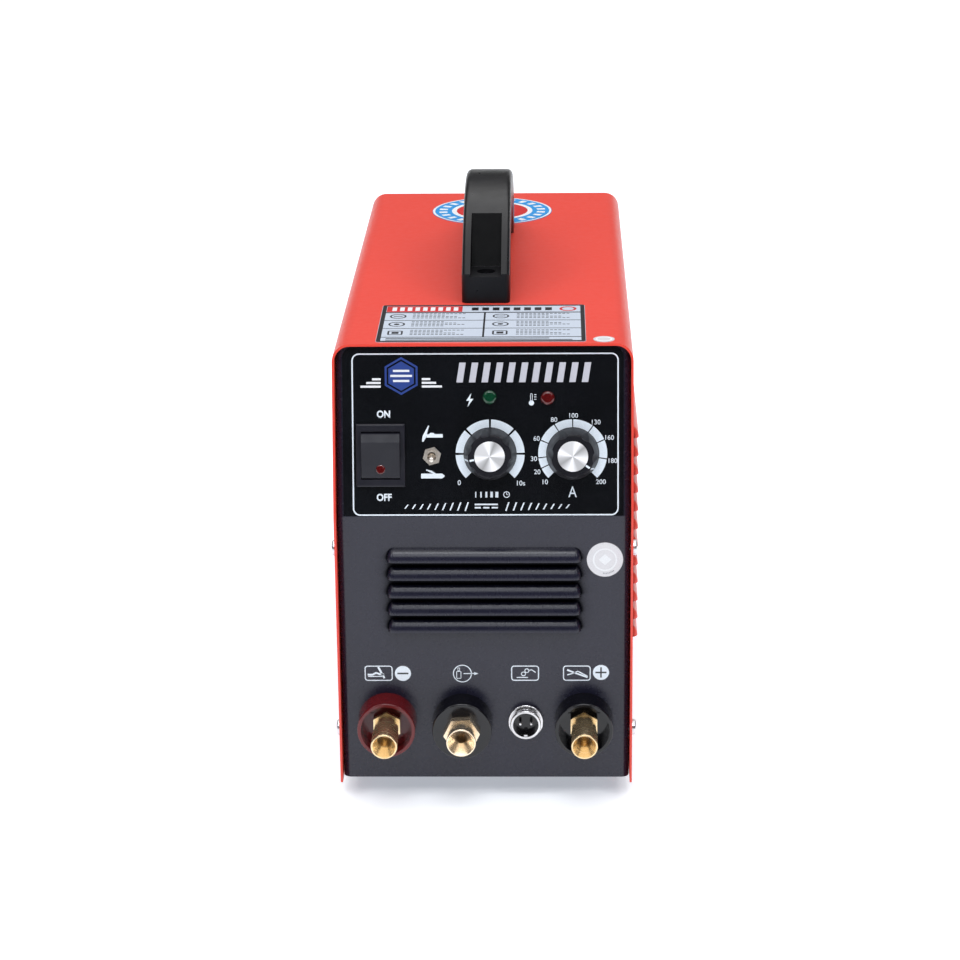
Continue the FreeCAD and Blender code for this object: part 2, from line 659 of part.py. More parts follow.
# ---------------------------------------------------------------- controls on the leaning panel
def make_switch_housing():
    """Rocker switch housing: bezel outside, hollow body behind, two terminals."""
    x, s = ROCKER_AT
    half_x, half_s = ROCKER_BEZEL[0] / 2, ROCKER_BEZEL[1] / 2
    bezel = box(x - half_x, x + half_x, -BEZEL_THICK, -OVERLAY_THICK, s - half_s, s + half_s)
    bezel = round_edges(bezel, 0.9, lambda edge: edge.BoundBox.YMax < -BEZEL_THICK + 1e-6)
    body_x, body_s = ROCKER_BODY[0] / 2, ROCKER_BODY[1] / 2
    body = box(x - body_x, x + body_x, -OVERLAY_THICK - 0.5, 22, s - body_s, s + body_s)
    housing = bezel.fuse(body)
    window_x = ROCKER_SIZE[0] / 2 + 0.2
    window_s = ROCKER_SIZE[1] / 2 + 0.75
    housing = housing.cut(box(x - window_x, x + window_x, -10, 16, s - window_s, s + window_s))
    pin_reach = window_x + 0.9
    pin_ends = [Vector(x + side * pin_reach, ROCKER_PIVOT, s) for side in (-1, 1)]
    pivot = rod(ROCKER_PIN_RADIUS + 0.05, *pin_ends)
    housing = housing.cut(pivot)
    for step in (-8, 8):
        blade = box(x - 3.1, x + 3.1, 21, 31, s + step - 0.4, s + step + 0.4)
        housing = housing.fuse(blade)
    return on_slope(housing.removeSplitter())


def make_rocker():
    """The rocker: two facets that meet at a ridge, ends round about the pivot, two pivot pins."""
    x, s = ROCKER_AT
    half_x = ROCKER_SIZE[0] / 2
    swing = ROCKER_SIZE[1] / 2 + 0.4
    profile = prism([
        Vector(x - half_x, -1.9, s - 13.0),
        Vector(x - half_x, -5.0, s + 7.1),
        Vector(x - half_x, -3.0, s + 13.0),
        Vector(x - half_x, ROCKER_PIVOT + 3.0, s + 13.0),
        Vector(x - half_x, ROCKER_PIVOT + 3.0, s - 13.0),
    ], Vector(2 * half_x, 0, 0))
    swing_ends = [Vector(x + side * half_x, ROCKER_PIVOT, s) for side in (-1, 1)]
    rocker = profile.common(rod(swing, *swing_ends))
    reach = half_x + 0.9
    pin = rod(ROCKER_PIN_RADIUS, Vector(x - reach, ROCKER_PIVOT, s), Vector(x + reach, ROCKER_PIVOT, s))
    rocker = rocker.fuse(pin).removeSplitter()
    lens_s = s + LENS_DROP
    return on_slope(rocker.cut(rod(2.4, Vector(x, -10, lens_s), Vector(x, 0.5, lens_s))))


def make_rocker_lens():
    """Round lens in the rocker's lower facet."""
    x, s = ROCKER_AT
    lens_s = s + LENS_DROP
    lens = rod(2.36, Vector(x, -3.3, lens_s), Vector(x, 0.4, lens_s))
    dome = Part.makeSphere(4.0, Vector(x, 0.2, lens_s))
    return on_slope(lens.common(dome))


def make_toggle_body():
    """Toggle switch body behind the panel with a threaded bush that widens into a cone at its mouth."""
    x, s = TOGGLE_AT
    body = box(x - 4.0, x + 4.0, SHEET, SHEET + 9.5, s - 6.5, s + 6.5)
    bush = rod(TOGGLE_BUSH_RADIUS, Vector(x, SHEET - 0.5, s), Vector(x, TOGGLE_BUSH_FRONT, s))
    whole = body.fuse(bush)
    mouth = cone(2.4, 1.9, Vector(x, TOGGLE_BUSH_FRONT, s), Vector(x, TOGGLE_PIVOT, s))
    room = Part.makeSphere(TOGGLE_BALL_RADIUS + 0.3, Vector(x, TOGGLE_PIVOT, s))
    pin_ends = [Vector(x + side * 3.0, TOGGLE_PIVOT, s) for side in (-1, 1)]
    pin_hole = rod(TOGGLE_PIN_RADIUS + 0.04, *pin_ends)
    inside = box(x - 2.2, x + 2.2, TOGGLE_PIVOT, TOGGLE_PIVOT + 5.0, s - 3.5, s + 3.5)
    whole = whole.cut(mouth).cut(room).cut(inside).cut(pin_hole)
    for step in (-4.2, 0, 4.2):
        whole = whole.fuse(box(x - 1.0, x + 1.0, SHEET + 9.0, SHEET + 14.0, s + step - 0.3, s + step + 0.3))
    return on_slope(whole.removeSplitter())


def make_toggle_nut():
    """Hexagonal nut that clamps the toggle's bush."""
    x, s = TOGGLE_AT
    nut = hex_bar(8.4, Vector(x, -OVERLAY_THICK - 1.8, s), Vector(x, -OVERLAY_THICK, s), 15.0)
    return on_slope(nut.cut(rod(TOGGLE_BUSH_RADIUS + 0.02, Vector(x, -5, s), Vector(x, 5, s))))


def make_toggle_lever():
    """Ball-tipped lever on a cross pin, tipped down at rest."""
    x, s = TOGGLE_AT
    pivot = Vector(x, TOGGLE_PIVOT, s)
    tip = Vector(x, TOGGLE_PIVOT - TOGGLE_LENGTH, s)
    pin = rod(TOGGLE_PIN_RADIUS, pivot - RIGHT * 2.6, pivot + RIGHT * 2.6)
    lever = fuse([Part.makeSphere(TOGGLE_BALL_RADIUS, pivot), cone(1.1, 1.35, pivot, tip),
                  Part.makeSphere(1.55, tip), rod(0.9, pivot, pivot + BACK * 3.0), pin])
    lever.rotate(pivot, RIGHT, TOGGLE_TILT_DEG)
    return on_slope(lever)


def make_pot(place):
    """Rotary potentiometer: round body, threaded bush, three tags."""
    x, s = place
    body = rod(8.3, Vector(x, SHEET, s), Vector(x, SHEET + 9.0, s))
    bush = rod(POT_BUSH_RADIUS, Vector(x, POT_BUSH_FRONT, s), Vector(x, SHEET + 1.0, s))
    pot = body.fuse(bush).cut(rod(SPINDLE_RADIUS + 0.05, Vector(x, -10, s), Vector(x, SHEET + 6.0, s)))
    for step in (-5, 0, 5):
        pot = pot.fuse(box(x + step - 1, x + step + 1, SHEET + 2, SHEET + 2.6, s - 14, s - 7))
    return on_slope(pot.removeSplitter())


def make_pot_nut(place):
    """Nut on a potentiometer's bush."""
    x, s = place
    nut = hex_bar(10.0, Vector(x, -OVERLAY_THICK - 2.0, s), Vector(x, -OVERLAY_THICK, s))
    return on_slope(nut.cut(rod(POT_BUSH_RADIUS + 0.02, Vector(x, -5, s), Vector(x, 5, s))))


def make_spindle(place):
    """Potentiometer spindle, which turns with its knob."""
    x, s = place
    return on_slope(rod(SPINDLE_RADIUS, Vector(x, -KNOB_LENGTH + 2.5, s), Vector(x, SHEET + 5.5, s)))


def make_knob(place, pointer_deg):
    """Tapered control knob: six lobes round its face fade out towards the round base."""
    x, s = place
    back = -OVERLAY_THICK - 0.5
    front = -KNOB_LENGTH
    knob = cone(KNOB_BASE_RADIUS, KNOB_FACE_RADIUS, Vector(x, back, s), Vector(x, front, s))
    knob = round_edges(knob, 0.8, lambda edge: is_circle_at(edge, Vector(x, front, s)))
    hollows = []
    for turn in range(KNOB_LOBES):
        angle = math.radians(pointer_deg + 360 / KNOB_LOBES * (turn + 0.5))
        across = LOBE_GAP_PLACE * math.cos(angle)
        up = LOBE_GAP_PLACE * math.sin(angle)
        base = Vector(x + across, back, s + up)
        face = Vector(x + across, front, s + up)
        hollows.append(cone(LOBE_GAP_BASE_RADIUS, LOBE_GAP_RADIUS, base, face))
    knob = knob.cut(Part.makeCompound(hollows))
    knob = knob.cut(rod(KNOB_CAP_RADIUS + 0.03, Vector(x, front - 1, s), Vector(x, front + 1.2, s)))
    knob = knob.cut(rod(SPINDLE_RADIUS + 0.02, Vector(x, front + 2.4, s), Vector(x, 1, s)))
    knob = knob.cut(rod(7.0, Vector(x, back - 2.2, s), Vector(x, 1, s)))
    knob = knob.cut(rod(POT_BUSH_RADIUS + 0.4, Vector(x, POT_BUSH_FRONT - 0.4, s), Vector(x, 1, s)))
    return on_slope(knob.removeSplitter())


def make_knob_cap(place):
    """Thin aluminium cap pressed into a knob's face."""
    x, s = place
    cap = rod(KNOB_CAP_RADIUS, Vector(x, -KNOB_LENGTH - 0.3, s), Vector(x, -KNOB_LENGTH + 1.2, s))
    return on_slope(round_edges(cap, 0.3, lambda edge: is_circle_at(edge, Vector(x, -KNOB_LENGTH - 0.3, s))))


def make_lamp(place):
    """Indicator lamp: domed head, stem through the panel."""
    x, s = place
    head = rod(LAMP_RADIUS, Vector(x, -3.0, s), Vector(x, -OVERLAY_THICK, s))
    head = round_edges(head, 1.4, lambda edge: is_circle_at(edge, Vector(x, -3.0, s)))
    stem = rod(LAMP_STEM_RADIUS, Vector(x, -1, s), Vector(x, 9, s))
    return on_slope(head.fuse(stem).removeSplitter())


# ---------------------------------------------------------------- terminals and outlets
def make_cup(side):
    """Terminal insulator: a cup outside the panel and a neck through it, with three small screw heads."""
    x, z = side * TERMINAL_X, RIM_Z + TERMINAL_HEIGHT
    base = Vector(x, PANEL_Y, z)
    rim = base - BACK * CUP_LENGTH
    cup = cone(CUP_RADIUS, CUP_RADIUS - 0.4, base, rim)
    cup = round_edges(cup, 0.6, lambda edge: is_circle_at(edge, rim))
    floor = base - BACK * CUP_FLOOR
    cup = cup.cut(rod(CUP_RADIUS - CUP_WALL, floor, rim - BACK * 5))
    cup = cup.fuse(rod(STUD_THREAD_RADIUS + 2.8, base - BACK, base + BACK * (SHEET + 2.0)))
    for angle_deg in (42, 138, 318):
        angle = math.radians(angle_deg)
        spot = floor + Vector(10.6 * math.cos(angle), 0, 10.6 * math.sin(angle))
        cup = cup.cut(pipe(1.3, 0.8, spot + BACK * 0.6, spot - BACK * 0.1))
    return cup.removeSplitter().cut(rod(STUD_THREAD_RADIUS + 0.05, base + BACK * 10, rim))


def make_stud(side):
    """Brass terminal stud: tail, hexagon on the insulator's floor, neck, tube with a conical mouth."""
    x, z = side * TERMINAL_X, RIM_Z + TERMINAL_HEIGHT
    floor = Vector(x, PANEL_Y - CUP_FLOOR, z)
    tip = Vector(x, FRONT_Y - STUD_REACH, z)
    hexagon = hex_bar(14.0, floor - BACK * 4.5, floor, 90.0)
    shoulder = tip + BACK * STUD_LENGTH
    body = rod(STUD_RADIUS, tip, shoulder)
    body = round_edges(body, 0.5, lambda edge: is_circle_at(edge, tip) or is_circle_at(edge, shoulder))
    neck = rod(STUD_RADIUS - 0.5, shoulder - BACK, floor - BACK * 4.0)
    tail = rod(STUD_THREAD_RADIUS, floor - BACK, floor + BACK * 30.0)
    stud = fuse([hexagon, body, neck, tail])
    mouth = cone(STUD_RADIUS - 0.8, STUD_BORE_RADIUS, tip, tip + BACK * 6.5)
    bore = rod(STUD_BORE_RADIUS, tip + BACK * 6.0, tip + BACK * (6.5 + STUD_BORE_LENGTH))
    return stud.cut(mouth).cut(bore)


def make_terminal_nuts():
    """Back nuts of the two terminal studs."""
    nuts = []
    for side in (-1, 1):
        start = Vector(side * TERMINAL_X, PANEL_Y + SHEET + 2.0, RIM_Z + TERMINAL_HEIGHT)
        nut = hex_bar(17.0, start, start + BACK * 6.0)
        nuts.append(nut.cut(rod(STUD_THREAD_RADIUS + 0.05, start - BACK, start + BACK * 8)))
    return nuts


def make_gas_insulator():
    """Round insulating body of the gas outlet."""
    base = Vector(GAS_X, PANEL_Y, RIM_Z + OUTLET_HEIGHT)
    face = base - BACK * GAS_BODY_LENGTH
    body = cone(GAS_BODY_RADIUS, GAS_BODY_RADIUS - 0.4, base, face)
    body = round_edges(body, 0.8, lambda edge: is_circle_at(edge, face))
    return body.cut(rod(GAS_STEM_RADIUS + 0.05, base + BACK, face - BACK))


def make_gas_outlet():
    """Brass gas outlet: stem through the body, hexagon, neck and flared mouth, bored right through."""
    face = Vector(GAS_X, PANEL_Y - GAS_BODY_LENGTH, RIM_Z + OUTLET_HEIGHT)
    hexagon = hex_bar(16.7, face - BACK * 4.8, face, 3.5)
    chamfer = cone(12.4, 8.8, face, face - BACK * 6.0)
    tip = face - BACK * 15.0
    collar = rod(GAS_COLLAR_RADIUS, tip, face - BACK * 4.0)
    groove = pipe(GAS_COLLAR_RADIUS + 1, GAS_COLLAR_RADIUS - 0.5, tip + BACK * 1.8, tip + BACK * 2.5)
    flare = rod(GAS_MOUTH_RADIUS, tip, tip + BACK * 1.8)
    flare = round_edges(flare, 0.4, lambda edge: is_circle_at(edge, tip))
    stem_end = face + BACK * (GAS_BODY_LENGTH + 12.0)
    stem = rod(GAS_STEM_RADIUS, face - BACK, stem_end)
    spigot = rod(HOSE_BORE_RADIUS - 0.03, stem_end - BACK, stem_end + BACK * 12.0)
    outlet = fuse([hexagon.common(chamfer), collar.cut(groove), flare, stem, spigot])
    cone_mouth = cone(GAS_MOUTH_RADIUS - 0.7, GAS_BORE_RADIUS, tip, tip + BACK * 6.0)
    bore = rod(GAS_BORE_RADIUS, tip, face + BACK * GAS_BODY_LENGTH)
    passage = rod(INLET_BORE_RADIUS, face, stem_end + BACK * 20)
    return outlet.cut(cone_mouth).cut(bore).cut(passage)


def make_gas_nut():
    """Back nut of the gas outlet."""
    start = Vector(GAS_X, PANEL_Y + SHEET, RIM_Z + OUTLET_HEIGHT)
    nut = hex_bar(15.0, start, start + BACK * 5.0)
    return nut.cut(rod(GAS_STEM_RADIUS + 0.05, start - BACK, start + BACK * 8))


def make_socket_shell():
    """Threaded barrel of the two-pin control socket, with its flange and keyway."""
    base = Vector(SOCKET_X, PANEL_Y, RIM_Z + SOCKET_HEIGHT)
    rim = base - BACK * SOCKET_REACH
    barrel = rod(SOCKET_RADIUS, rim, base)
    barrel = round_edges(barrel, 0.5, lambda edge: is_circle_at(edge, rim))
    flange = rod(SOCKET_FLANGE_RADIUS, base - BACK * SOCKET_FLANGE_THICK, base)
    neck = rod(SOCKET_NECK_RADIUS, base - BACK, base + BACK * 14.0)
    barrel = fuse([barrel, round_edges(flange, 0.5, lambda edge: edge.BoundBox.YMax < base.y - 1), neck])
    barrel = barrel.cut(rod(SOCKET_BORE_RADIUS, rim - BACK, base + BACK * 20))
    key = box(SOCKET_X - 0.9, SOCKET_X + 0.9, rim.y + 0.4, base.y, base.z - SOCKET_BORE_RADIUS - 0.5,
              base.z - SOCKET_BORE_RADIUS + 1.1)
    return barrel.fuse(key).removeSplitter()


def make_socket_insert():
    """Black insulating insert inside the socket's barrel."""
    base = Vector(SOCKET_X, PANEL_Y, RIM_Z + SOCKET_HEIGHT)
    radius = SOCKET_BORE_RADIUS - 0.03
    insert = rod(radius, base - BACK * (SOCKET_REACH - SOCKET_INSERT_DEPTH), base + BACK * 12.0)
    insert = insert.cut(box(SOCKET_X - 1.0, SOCKET_X + 1.0, base.y - 12, base.y + 0.1,
                            base.z - SOCKET_BORE_RADIUS - 1, base.z - SOCKET_BORE_RADIUS + 1.2))
    for side in (-1, 1):
        pin = Vector(SOCKET_X + side * SOCKET_PIN_PITCH / 2, base.y - 20, base.z)
        insert = insert.cut(rod(SOCKET_PIN_RADIUS + 0.03, pin, pin + BACK * 60))
    return insert


def make_socket_pins():
    """The socket's two contact pins."""
    pins = []
    for side in (-1, 1):
        x = SOCKET_X + side * SOCKET_PIN_PITCH / 2
        start = Vector(x, PANEL_Y - SOCKET_REACH + 1.2, RIM_Z + SOCKET_HEIGHT)
        pin = rod(SOCKET_PIN_RADIUS, start, start + BACK * 21.0)
        pins.append(round_edges(pin, 0.5, lambda edge: is_circle_at(edge, start)))
    return pins


def make_socket_nut():
    """Back nut of the control socket."""
    start = Vector(SOCKET_X, PANEL_Y + SHEET, RIM_Z + SOCKET_HEIGHT)
    nut = hex_bar(19.0, start, start + BACK * 3.0)
    return nut.cut(rod(SOCKET_NECK_RADIUS + 0.03, start - BACK, start + BACK * 8))


# ---------------------------------------------------------------- rear side
def make_fan_frame():
    """Square fan frame with a round duct, four struts and the motor's seat."""
    z = RIM_Z + FAN_HEIGHT
    back = REAR_PANEL_Y - SHEET
    front = back - FAN_DEPTH
    half = FAN_SIZE / 2
    frame = box(-half, half, front, back, z - half, z + half)
    frame = round_edges(frame, 4.0, lambda edge: edge.BoundBox.YLength > FAN_DEPTH / 2)
    frame = frame.cut(rod(FAN_RADIUS, Vector(0, front - 1, z), Vector(0, back + 1, z)))
    for turn in range(4):
        strut = box(0, FAN_RADIUS + 1, front, front + 3.0, z - 2.5, z + 2.5)
        strut.rotate(Vector(0, 0, z), BACK, 45 + 90 * turn)
        frame = frame.fuse(strut)
    seat = rod(18.0, Vector(0, front, z), Vector(0, front + 3.5, z))
    bearing = rod(5.0, Vector(0, front + 3.0, z), Vector(0, front + 15.0, z))
    frame = frame.fuse(seat).fuse(bearing)
    frame = frame.cut(rod(FAN_AXLE_RADIUS + 0.04, Vector(0, front - 1, z), Vector(0, back, z)))
    for x, hole_z in fan_screw_places():
        frame = frame.cut(rod(2.0 + SCREW_CLEAR, Vector(x, front - 1, hole_z), Vector(x, back + 1, hole_z)))
    return frame.removeSplitter()


def make_fan_rotor():
    """Fan rotor: hub cup, axle and seven pitched blades."""
    z = RIM_Z + FAN_HEIGHT
    back = REAR_PANEL_Y - SHEET
    front = back - FAN_DEPTH
    hub_front = front + 4.0
    hub_back = back - 1.5
    hub = rod(17.0, Vector(0, hub_front, z), Vector(0, hub_back, z))
    hub = hub.cut(rod(15.2, Vector(0, hub_front - 1, z), Vector(0, hub_back - 2.0, z)))
    axle = rod(FAN_AXLE_RADIUS, Vector(0, front + 0.5, z), Vector(0, hub_back, z))
    rotor = hub.fuse(axle)
    for turn in range(FAN_BLADES):
        blade = Part.makeBox(FAN_RADIUS - 1.2 - 16.3, 1.6, 20.0)
        blade.translate(Vector(16.3, -0.8, -10.0))
        blade.rotate(Vector(0, 0, 0), RIGHT, 52)
        blade.translate(Vector(0, (hub_front + hub_back) / 2, 0))
        blade.rotate(Vector(0, 0, 0), BACK, 360 / FAN_BLADES * turn)
        rotor = rotor.fuse(moved(blade, z=z))
    sweep = rod(FAN_RADIUS - 0.8, Vector(0, hub_front, z), Vector(0, hub_back, z))
    return rotor.common(sweep.fuse(rod(8.0, Vector(0, front, z), Vector(0, back, z)))).removeSplitter()


def make_fan_guard():
    """Wire guard over the fan: rings welded on four radial wires that end in screw eyes."""
    z = RIM_Z + FAN_HEIGHT
    centre = Vector(0, REAR_PANEL_Y + 5.0, z)
    wire = 0.9
    rings = centre + BACK * (wire * 1.5)
    parts = [rod(7.0, centre - BACK * 0.8, centre + BACK * 0.8)]
    for x, eye_z in fan_screw_places():
        eye = Vector(x, REAR_PANEL_Y, eye_z)
        corner = Vector(x, centre.y, eye_z)
        inward = Vector(-x, 0, z - eye_z).normalize()
        bend = corner + inward * 8.0
        parts.append(rod(wire, bend, centre))
        parts.append(Part.makeSphere(wire, bend))
        low = Vector(bend.x, REAR_PANEL_Y + wire, bend.z)
        parts.append(rod(wire, low, bend))
        parts.append(Part.makeSphere(wire, low))
        parts.append(rod(wire, low, eye + BACK * wire + inward * 3.5))
        parts.append(pipe(4.2, 2.0 + SCREW_CLEAR, eye, eye + BACK * 2 * wire))
    for radius in (10.0, 19.0, 28.0, 37.0, 44.0):
        parts.append(Part.makeTorus(radius, wire, rings, BACK))
    guard = parts[0]
    for part in parts[1:]:
        guard = guard.fuse(part)
    for x, eye_z in fan_screw_places():
        eye = Vector(x, REAR_PANEL_Y, eye_z)
        guard = guard.cut(rod(2.0 + SCREW_CLEAR, eye - BACK, eye + BACK * 4))
    return guard


def make_fan_screws():
    """Four long screws through the guard, the panel and the fan frame."""
    seat_y = REAR_PANEL_Y + 1.8
    return [screw(2.0, FAN_DEPTH + 8, 3.8, 2.4, Vector(x, seat_y, z), -BACK) for x, z in fan_screw_places()]


def make_gland():
    """Mains cable gland: hexagon, ribbed dome nut outside, lock nut inside, bore for the cable."""
    x, z = GLAND_AT[0], RIM_Z + GLAND_AT[1]
    face = Vector(x, REAR_PANEL_Y, z)
    hexagon = hex_bar(23.0, face, face + BACK * 5.0)
    dome = rod(11.2, face + BACK * 4.5, face + BACK * 17.0)
    dome = round_edges(dome, 3.0, lambda edge: is_circle_at(edge, face + BACK * 17.0))
    ribs = []
    for turn in range(12):
        angle = math.radians(30 * turn)
        spot = face + Vector(11.9 * math.cos(angle), 5.5, 11.9 * math.sin(angle))
        ribs.append(rod(1.1, spot, spot + BACK * 9.0))
    neck = rod(GLAND_THREAD_RADIUS, face + BACK, face - BACK * 9.0)
    lock = hex_bar(24.0, face - BACK * (SHEET + 4.5), face - BACK * SHEET)
    gland = fuse([hexagon, dome.cut(Part.makeCompound(ribs)), neck, lock])
    return gland.cut(rod(GLAND_BORE_RADIUS, face - BACK * 12, face + BACK * 20))


def make_gas_inlet():
    """Brass gas inlet: hexagon and hose tail outside, lock nut and hose tail inside, bored right through."""
    x, z = GAS_INLET_AT[0], RIM_Z + GAS_INLET_AT[1]
    face = Vector(x, REAR_PANEL_Y, z)
    hexagon = hex_bar(16.0, face, face + BACK * 6.0)
    tail_end = Vector(x, REAR_Y + REAR_REACH, z)
    tail = rod(3.6, face + BACK * 5, tail_end)
    inlet = [hexagon, tail]
    for step in range(3):
        ring = tail_end - BACK * (5.0 * step + 0.0)
        inlet.append(cone(3.2, INLET_BARB_RADIUS, ring, ring - BACK * 3.6))
    inlet.append(rod(INLET_THREAD_RADIUS, face + BACK, face - BACK * 8))
    inlet.append(hex_bar(15.0, face - BACK * (SHEET + 4.0), face - BACK * SHEET))
    inlet.append(rod(HOSE_BORE_RADIUS - 0.03, face - BACK * 7, face - BACK * 20))
    return fuse(inlet).cut(rod(INLET_BORE_RADIUS, face - BACK * 30, tail_end + BACK))


def make_earth_stud():
    """Earth stud with two nuts and a washer outside the rear panel and its head inside."""
    x, z = EARTH_AT[0], RIM_Z + EARTH_AT[1]
    face = Vector(x, REAR_PANEL_Y, z)
    head = hex_bar(9.0, face - BACK * (SHEET + 3.5), face - BACK * SHEET)
    stud = rod(EARTH_RADIUS, face - BACK * (SHEET + 1), face + BACK * EARTH_REACH)
    stud = round_edges(stud, 0.4, lambda edge: is_circle_at(edge, face + BACK * EARTH_REACH))
    washer = rod(5.5, face, face + BACK * 1.0)
    nut = hex_bar(9.0, face + BACK * 0.9, face + BACK * 5.0)
    return fuse([head, stud, washer, nut])


# ---------------------------------------------------------------- labels
def make_top_label():
    """Printed label on the cover's top, ahead of the handle."""
    front = FRONT_Y + 21.5
    label = box(-55.2, 53.2, front, front + 74.0, TOP_Z, TOP_Z + LABEL_THICK)
    return round_edges(label, 2.0, lambda edge: edge.BoundBox.ZLength > LABEL_THICK / 2)


def make_top_badge(handle):
    """Round badge on the cover's top, cut where the handle's rear foot stands."""
    centre = Vector(-1.0, FRONT_Y + 322.0, TOP_Z)
    return rod(36.5, centre, centre + UP * LABEL_THICK).cut(handle)


def make_top_sticker():
    """Small round sticker at the cover's front right corner."""
    centre = Vector(62.4, FRONT_Y + 26.0, TOP_Z)
    return rod(5.5, centre, centre + UP * LABEL_THICK)


def make_front_sticker():
    """Round sticker beside the louvres."""
    centre = Vector(62.9, PANEL_Y, RIM_Z + 124.6)
    return rod(9.4, centre, centre - BACK * LABEL_THICK)


# ---------------------------------------------------------------- inside the case
def make_power_board():
    """Main circuit board on four standoffs."""
    board = box(-62, 62, BOARD_FRONT, BOARD_REAR, BOARD_Z, BOARD_Z + BOARD_THICK)
    for x, y in BOARD_POSTS:
        board = board.cut(rod(1.5 + SCREW_CLEAR, Vector(x, y, BOARD_Z - 1), Vector(x, y, BOARD_Z + 5)))
    return board


def make_standoffs():
    """Standoffs under the main board, with a threaded stud at each end."""
    posts = []
    for x, y in BOARD_POSTS:
        body = rod(3.2, Vector(x, y, TRAY_Z + SHEET), Vector(x, y, BOARD_Z))
        stud = rod(1.5, Vector(x, y, TRAY_Z - 0.2), Vector(x, y, BOARD_Z + BOARD_THICK + 2.0))
        posts.append(body.fuse(stud).removeSplitter())
    return posts


def make_control_board():
    """Small board behind the controls."""
    board = box(-18, 66, CONTROL_BOARD_Y, CONTROL_BOARD_Y + BOARD_THICK, 6, 76)
    return on_slope(board)


def make_control_standoffs():
    """Four standoffs between the leaning panel and the control board."""
    places = [(x, s) for x in (-12, 60) for s in (12, 71)]
    return [on_slope(rod(2.5, Vector(x, SHEET, s), Vector(x, CONTROL_BOARD_Y, s))) for x, s in places]


def make_heat_sinks():
    """Two finned heat sinks, base plates facing each other."""
    y0, y1 = HEAT_SINK_SPAN
    low, high = BOARD_Z + BOARD_THICK + 4.0, BOARD_Z + BOARD_THICK + 84.0
    sink = box(8, 14, y0, y1, low, high)
    fins = 14
    pitch = (high - low - 1.8) / (fins - 1)
    for fin in range(fins):
        z = low + fin * pitch
        sink = sink.fuse(box(13.5, 46, y0, y1, z, z + 1.8))
    for y in (y0, y1 - 8):
        sink = sink.fuse(box(9, 13, y, y + 8, BOARD_Z + BOARD_THICK, low + 1))
    sink = sink.removeSplitter()
    return [sink, mirrored(sink)]


def make_power_modules():
    """Transistor packages clamped to the heat sinks, legs down to the board."""
    modules = []
    low = BOARD_Z + BOARD_THICK
    y0, y1 = HEAT_SINK_SPAN
    count = 5
    for index in range(count):
        y = y0 + 14 + index * (y1 - y0 - 28) / (count - 1)
        package = box(3, 8, y - 8, y + 8, low + 8, low + 29)
        for step in (-5.4, 0, 5.4):
            package = package.fuse(box(4.6, 5.4, y + step - 0.6, y + step + 0.6, low, low + 8.5))
        package = package.removeSplitter()
        modules += [package, mirrored(package)]
    return modules


def make_capacitors():
    """Four reservoir capacitors on the board."""
    low = BOARD_Z + BOARD_THICK
    cans = []
    for x in (-46.5, -15.5, 15.5, 46.5):
        top = Vector(x, 96, low + 45)
        can = rod(13.0, Vector(x, 96, low), top)
        can = round_edges(can, 1.5, lambda edge: is_circle_at(edge, top))
        groove = pipe(14.0, 12.4, Vector(x, 96, low + 38), Vector(x, 96, low + 40))
        cans.append(can.cut(groove))
    return cans


def make_transformer_core():
    """Ferrite core with two windows."""
    y0, y1 = CORE_SPAN
    low = BOARD_Z + BOARD_THICK
    core = box(-30, 30, y0, y1, low, low + 60)
    for side in (-1, 1):
        x0, x1 = sorted((side * 9.0, side * 21.0))
        core = core.cut(box(x0, x1, y0 - 1, y1 + 1, low + 10, low + 50))
    return core


def make_transformer_winding():
    """Winding round the core's middle leg."""
    y0, y1 = CORE_SPAN
    low = BOARD_Z + BOARD_THICK + 10.5
    winding = box(-20.5, 20.5, y0 - 7, y1 + 7, low, low + 39)
    winding = round_edges(winding, 6.0, lambda edge: edge.BoundBox.ZLength > 30)
    return winding.cut(box(-9.3, 9.3, y0 - 0.3, y1 + 0.3, low - 1, low + 40))


def make_output_choke():
    """Toroidal choke lying on the board."""
    return Part.makeTorus(9.5, 6.0, Vector(-47.5, -82, BOARD_Z + BOARD_THICK + 6.0), UP)


def make_arc_start_coil():
    """Arc-start coil: bobbin with two flanges and its winding."""
    low = BOARD_Z + BOARD_THICK
    at = Vector(48, -82, low)
    coil = fuse([rod(13.0, at, at + UP * 2), rod(11.5, at + UP * 2, at + UP * 38),
                 rod(13.0, at + UP * 38, at + UP * 40)])
    return coil.removeSplitter().cut(rod(4.0, at - UP, at + UP * 50))


def make_busbars():
    """Copper strips from the terminal studs to the board."""
    start = PANEL_Y + SHEET + 8.0
    low = RIM_Z + TERMINAL_HEIGHT - 11.0
    top = BOARD_Z + BOARD_THICK
    side_gap = 7.0
    x0, x1 = TERMINAL_X - side_gap, TERMINAL_X + side_gap
    bar = box(x0, x1, start, start + 2, low, low + 20)
    bar = bar.fuse(box(x0, x1, start, BOARD_FRONT - 4, low, low + 2))
    bar = bar.fuse(box(x0, x1, BOARD_FRONT - 6, BOARD_FRONT - 4, low, top + 2))
    bar = bar.fuse(box(x0, x1, BOARD_FRONT - 6, BOARD_FRONT + 3, top, top + 2)).removeSplitter()
    stud_z = RIM_Z + TERMINAL_HEIGHT
    hole_ends = [Vector(TERMINAL_X, start + step, stud_z) for step in (-1, 3)]
    hole = rod(STUD_THREAD_RADIUS + 0.1, *hole_ends)
    bar = bar.cut(hole)
    return [bar, mirrored(bar)]


